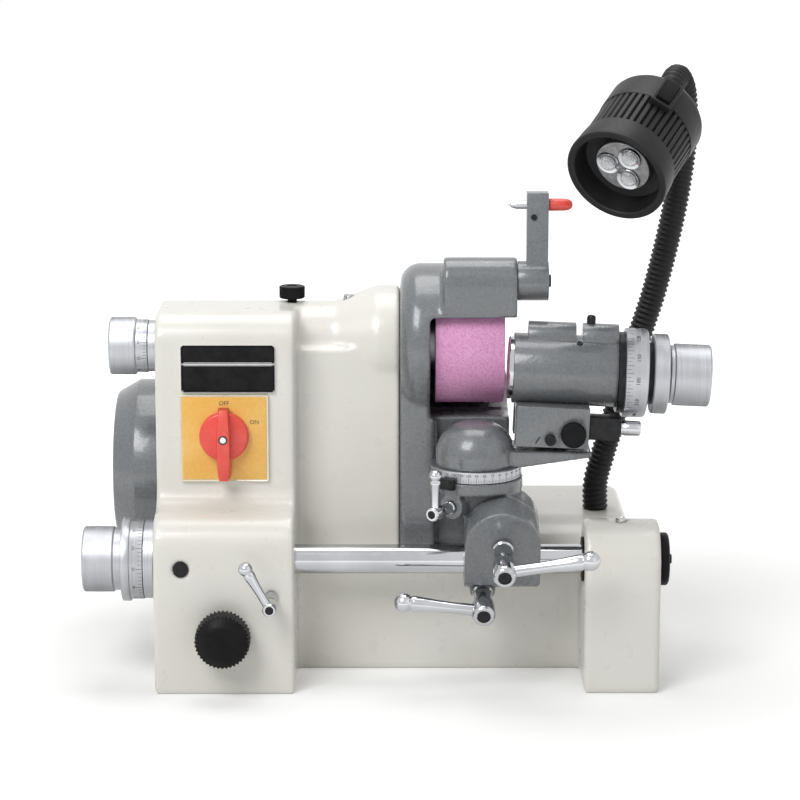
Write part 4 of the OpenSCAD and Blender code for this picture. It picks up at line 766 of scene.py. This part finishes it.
dress(put(eased(zero_mark, 0.0001), head_seat @ Matrix.Translation((0.0187, block_front, -0.0459))
          @ Matrix.Rotation(math.radians(30), 4, "Y")), ink_and_recess_shade, "head")
socket_screw("barrel_split_screw", 0.0022, 0.0010, head_seat @ Matrix.Translation((0.0459, 0, 0))
             @ Matrix.Rotation(math.radians(30), 4, "X") @ Matrix.Translation((0, 0, 0.0250)), "head")
clamp_stud = put(turned("barrel_clamp_stud", [
    (-0.0010, 0.0032), (0.0045, 0.0032), (0.0058, 0.0028), (0.0064, 0.0018), (0.0066, 0.0003)], 32, 50),
    head_seat @ Matrix.Translation((0.0541, 0, 0.0342)))
dress(clamp_stud, black_oxide, "head")

# Grinding wheel: a pink vitrified cup wheel, open grained, with a slightly
# broken rim from dressing.
abrasive, tree, shader, place = new_material("pink_abrasive", (0.68, 0.29, 0.48), 0, 0.92)
grit = speckle(tree, place, 750, 3, 0.75)
tree.links.new(grade(tree, grit, [(0.30, (0.66, 0.24, 0.48)), (0.48, (0.81, 0.37, 0.64)), (0.70, (0.92, 0.54, 0.79))]),
               shader.inputs["Base Color"])
emboss(tree, shader, grit, 0.5, 0.0006)
wheel = eased(welded_copy("cup_wheel", "grinding_wheel"), 0.0009)
dress(wheel, abrasive, "wheel_spindle", "grinding_wheel")

# Dresser: a steel rod with a pointed diamond end in the swinging arm, and a red
# vinyl cap pushed over its tail.
rod_low, rod_high = (Vector(corner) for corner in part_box("dresser_rod"))
cap_low, cap_high = (Vector(corner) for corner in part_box("dresser_cap"))
rod_y, rod_z = (rod_low.y + rod_high.y) / 2, (rod_low.z + rod_high.z) / 2
rod_l, rod_r = rod_high.x - rod_low.x, (rod_high.y - rod_low.y) / 2
diamond_rod = put(turned("dresser_diamond_rod", [
    (0, 0.0002), (0.0022, rod_r * 0.34), (0.0026, rod_r * 0.62), (0.0060, rod_r * 0.95), (0.0066, rod_r),
    (rod_l, rod_r)], 32),
    facing(rod_low.x, rod_y, rod_z, "right"))
dress(diamond_rod, steel, "dresser_slide", "dresser_rod")
cap_l, cap_r = cap_high.x - cap_low.x, (cap_high.y - cap_low.y) / 2
vinyl_cap = put(turned("dresser_vinyl_cap", [
    (0, cap_r * 0.86), (0, cap_r * 0.96), (0.0006, cap_r), (cap_l * 0.62, cap_r * 0.97), (cap_l * 0.80, cap_r * 0.90),
    (cap_l * 0.93, cap_r * 0.66), (cap_l * 0.985, cap_r * 0.36), (cap_l, cap_r * 0.05)], 40, 60),
    facing(cap_low.x, rod_y, rod_z, "right"))
dress(vinyl_cap, red, "dresser_slide", "dresser_cap")
arm_low, arm_high = (Vector(corner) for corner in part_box("dresser_arm"))
arm_x = (arm_low.x + arm_high.x) / 2
socket_screw("dresser_set_screw", 0.0022, 0.0008, facing(arm_x, rod_y - 0.0075, rod_z - 0.008, "front"), "dresser")
socket_screw("dresser_pivot_screw", 0.0045, 0.0020, facing(arm_high.x, boss_y, boss_z, "right"), "dresser")

# Black knobs, seal, cap and screws: moulded knobs with straight ribs round the
# grip, pushed or screwed into the casting.
moulded, tree, shader, place = new_material("black_moulding", (0.006, 0.006, 0.007), 0, 0.42)
tree.links.new(grade(tree, speckle(tree, place, 90), [(0.3, (0.004, 0.004, 0.005)), (0.7, (0.009, 0.009, 0.010))]),
               shader.inputs["Base Color"])
tree.links.new(spread(tree, speckle(tree, place, 900), 0.34, 0.52), shader.inputs["Roughness"])
emboss(tree, shader, speckle(tree, place, 1800, 1), 0.10, 0.0002)
shader.inputs["Specular IOR Level"].default_value = 0.12
stop = put(knurled("stop_knob_moulding", [
    (0.0004, 0.0120), (0.0004, 0.0146), (0.0010, 0.0150), (0.0060, 0.0150), (0.0064, 0.0178), (0.0070, 0.0193),
    (0.0215, 0.0193), (0.0228, 0.0180), (0.0236, 0.0160), (0.0256, 0.0140), (0.0268, 0.0110), (0.0273, 0.0060),
    (0.0274, 0.0005)], (0.0069, 0.0216), 40, 0.0016, 4, True), facing(-0.130, front_y, 0.045, "front"))
dress(stop, moulded, "stop", "stop_knob")
thumb = put(knurled("quill_thumb_screw", [
    (-0.0080, 0.0034), (0.0024, 0.0034), (0.0024, 0.0086), (0.0030, 0.0094), (0.0106, 0.0094), (0.0112, 0.0086),
    (0.0114, 0.0040), (0.0108, 0.0034), (0.0108, 0.0004)], (0.0029, 0.0107), 36, 0.0007),
    facing(-0.0838, wheel_y, 0.266, "up"))
dress(thumb, moulded, "quill_lock", "thumb_screw")
block_grip = put(knurled("block_clamp_knob", [
    (0.0004, 0.0080), (0.0008, 0.0086), (0.0014, 0.0089), (0.0086, 0.0089), (0.0090, 0.0086), (0.0096, 0.0082),
    (0.0099, 0.0074), (0.0099, 0.0004)], (0.0013, 0.0087), 44, 0.0006),
    head_seat @ Matrix.Translation((0.0437, block_front, -0.040)) @ to_front)
dress(block_grip, moulded, "block_clamp", "block_knob")
bar_cap = put(turned("bar_end_cap", [
    (0, 0.0180), (0, 0.0186), (0.0006, 0.0190), (0.0052, 0.0190), (0.0064, 0.0182), (0.0070, 0.0168),
    (0.0070, 0.0110), (0.0064, 0.0104), (0.0064, 0.0010)], 64), facing(0.180, bar_y, bar_z, "right"))
dress(bar_cap, moulded, "machine", "end_cap")
for node in ("bar_seal", "switch_body"):
    paint_solid(node, moulded)
socket_screw("end_cap_screw", 0.0035, 0.0031, facing(0.1864, bar_y, bar_z, "right"), "machine", "socket_screws")
socket_screw("column_set_screw", 0.0055, 0.0018, facing(-0.160, front_y + 0.001, bar_z, "front"), "machine")
cover_low, cover_high = (Vector(corner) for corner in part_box("rear_cover"))
screw_in = 0.005
for i, (x, z) in enumerate((x, z) for x in (cover_low.x + screw_in, cover_high.x - screw_in)
                           for z in (cover_low.z + screw_in, cover_high.z - screw_in)):
    socket_screw("rear_screw_%d" % i, 0.0035, 0.0025, Matrix.Translation((x, cover_high.y, z))
                 @ Matrix.Rotation(-math.pi / 2, 4, "X"), "machine")
ball_oilers = []
for x, y, z in ((-0.0424, wheel_y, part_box("oilers")[1][2] - 0.0015), (0.153, bar_y, 0.121)):
    ball_oilers.append(put(turned("ball_oilers", [
        (-0.004, 0.0040), (0.0006, 0.0040), (0.0013, 0.0034), (0.0013, 0.0020), (0.0008, 0.0017), (0.0012, 0.0011),
        (0.0014, 0.0002)], 32), Matrix.Translation((x, y, z))))
oiler_pair = dress(fuse(*ball_oilers), chrome, "machine", "oilers")
belt_black, tree, shader, place = new_material("belt_rubber", (0.018, 0.018, 0.018), 0, 0.7)
tree.links.new(spread(tree, speckle(tree, place, 500), 0.6, 0.85), shader.inputs["Roughness"])
emboss(tree, shader, speckle(tree, place, 900, 2), 0.2, 0.0003)
paint_solid("drive_belt", belt_black)

# Work lamp: black moulded housing with straight ribs behind a plain front ring,
# three lenses on a bright disc, and a ribbed gooseneck hose out of the ledge.
satin, tree, shader, place = new_material("lamp_satin_black", (0.010, 0.010, 0.011), 0, 0.46)
tree.links.new(grade(tree, speckle(tree, place, 60), [(0.3, (0.007, 0.007, 0.008)), (0.7, (0.014, 0.014, 0.015))]),
               shader.inputs["Base Color"])
tree.links.new(spread(tree, speckle(tree, place, 900), 0.40, 0.54), shader.inputs["Roughness"])
emboss(tree, shader, speckle(tree, place, 1600, 1), 0.08, 0.0002)
shader.inputs["Specular IOR Level"].default_value = 0.28

lamp_seat = (Matrix.Translation((0.181, -0.034, 0.410)) @ Matrix.Rotation(math.radians(-30), 4, "Z")
             @ Matrix.Rotation(math.radians(119), 4, "X"))
rocker_turn = Matrix.Rotation(math.radians(-35), 4, "Z")
lamp_body = knurled("lamp_housing_shell", [
    (0.0, 0.0120), (0.0, 0.0252), (0.0010, 0.0266), (0.0040, 0.0298), (0.0080, 0.0331), (0.0108, 0.0348),
    (0.0130, 0.0355), (0.0330, 0.0355), (0.0334, 0.0351), (0.0336, 0.0346), (0.0636, 0.0346), (0.0640, 0.0342),
    (0.0640, 0.0300)],
    (0.0335, 0.0637), 44, 0.0018, 8, True, 2)
rocker_frame = eased(block("rocker_frame", (-0.008, 0.0300, 0.014), (0.008, 0.0395, 0.040)), 0.0010, 3)
carve(lamp_body, put(rocker_frame, rocker_turn), "UNION")
rocker_pocket = block("rocker_pocket", (-0.0054, 0.0345, 0.0161), (0.0054, 0.0420, 0.0379))
carve(lamp_body, put(rocker_pocket, rocker_turn), "DIFFERENCE")
pick(lamp_body)
bpy.ops.object.shade_smooth_by_angle(angle=math.radians(25))
dress(put(lamp_body, lamp_seat), satin, "machine", "lamp_housing")
front_ring = put(turned("lamp_front_ring", [
    (0.0640, 0.0310), (0.0640, 0.0348), (0.0646, 0.0357), (0.0700, 0.0362), (0.0822, 0.0370), (0.0834, 0.0368),
    (0.0840, 0.0360), (0.0840, 0.0324), (0.0832, 0.0316), (0.0680, 0.0306), (0.0662, 0.0298), (0.0658, 0.0290),
    (0.0658, 0.0010)], 96, 30), lamp_seat)
dress(front_ring, satin, "machine", "lamp_bezel")
rocker = eased(welded_copy("lamp_rocker_key", "lamp_rocker"), 0.0008)
dress(rocker, moulded, "rocker", "lamp_rocker")
bright_tray, tree, shader, place = new_material("led_tray", (0.46, 0.46, 0.46), 0.85, 0.34)
tree.links.new(grade(tree, speckle(tree, place, 260), [(0.3, (0.22, 0.22, 0.225)), (0.7, (0.36, 0.36, 0.365))]),
               shader.inputs["Base Color"])
tree.links.new(spread(tree, speckle(tree, place, 400), 0.26, 0.44), shader.inputs["Roughness"])
lens_glass, tree, shader, place = new_material("led_lens", (0.92, 0.93, 0.93), 0, 0.06)
shader.inputs["Transmission Weight"].default_value = 0.85
shader.inputs["IOR"].default_value = 1.49
tree.links.new(spread(tree, speckle(tree, place, 300), 0.03, 0.10), shader.inputs["Roughness"])
tray = put(turned("led_tray_disc", [
    (0.0656, 0.0190), (0.0660, 0.0200), (0.0715, 0.0200), (0.0720, 0.0196), (0.0720, 0.0010)], 64), lamp_seat)
dress(tray, bright_tray, "machine", "led_module")
for i in range(3):
    cup_seat = lamp_seat @ Matrix.Rotation(math.radians(45 + 120 * i), 4, "Z") @ Matrix.Translation((0.0104, 0, 0.0720))
    cup = put(turned("led_cup_%d" % i, [
        (-0.0004, 0.0074), (-0.0004, 0.0086), (0.0014, 0.0086), (0.0019, 0.0082), (0.0017, 0.0076),
        (0.0006, 0.0044), (0.0004, 0.0004)], 40, 50), cup_seat)
    dress(cup, chrome, "machine")
    lens = put(turned("led_lens_%d" % i, [
        (0.0006, 0.0040), (0.0008, 0.0056), (0.0018, 0.0058), (0.0032, 0.0050), (0.0041, 0.0034), (0.0046, 0.0016),
        (0.0047, 0.0003)], 36, 60), cup_seat)
    dress(lens, lens_glass, "machine")
route = [Vector(point) / 1000 for point in (
    (141, 8, 106), (141, 8, 126), (146, 10, 146), (152, 12, 166), (162, 13, 203), (175, 15, 244), (183, 16, 270),
    (192, 16, 308), (198, 16, 340), (202, 15, 372), (203, 14, 396), (201, 10, 417), (196, 1, 428), (191, -12, 426),
    (187, -23, 417), (181, -34, 410))]
route = [2 * route[0] - route[1]] + route + [2 * route[-1] - route[-2]]
path = []
span_steps = 60
for a, b, c, d in zip(route, route[1:], route[2:], route[3:]):
    for step in range(span_steps):
        t = step / span_steps
        path.append((2 * b + (c - a) * t + (2 * a - 5 * b + 4 * c - d) * t * t + (3 * b - a - 3 * c + d) * t ** 3) / 2)
path.append(route[-2])
walked = [0.0]
for a, b in zip(path, path[1:]):
    walked.append(walked[-1] + (b - a).length)
ribs = 100
rib_swell = (0.87, 0.90, 0.98, 1.0, 0.98, 0.90)
points_each = len(rib_swell)
hose_points, at = [], 0
for i in range(ribs * points_each + 1):
    want = walked[-1] * i / (ribs * points_each)
    while at < len(walked) - 2 and walked[at + 1] < want:
        at += 1
    part = (want - walked[at]) / (walked[at + 1] - walked[at])
    hose_points.append(path[at].lerp(path[at + 1], part))
bpy.ops.object.select_all(action="DESELECT")
bpy.ops.curve.primitive_nurbs_path_add(location=(0, 0, 0))
hose = bpy.context.object
hose.name = "gooseneck_hose"
hose.data.splines.clear()
line = hose.data.splines.new("POLY")
line.points.add(len(hose_points) - 1)
for i, (point, place_on) in enumerate(zip(line.points, hose_points)):
    point.co = (*place_on, 1)
    point.radius = rib_swell[i % points_each]
hose.data.bevel_depth = 0.0095
hose.data.bevel_resolution = 7
hose.data.use_fill_caps = True
bpy.ops.object.convert(target="MESH")
bpy.ops.object.shade_smooth()
dress(hose, satin, "machine", "lamp_hose")
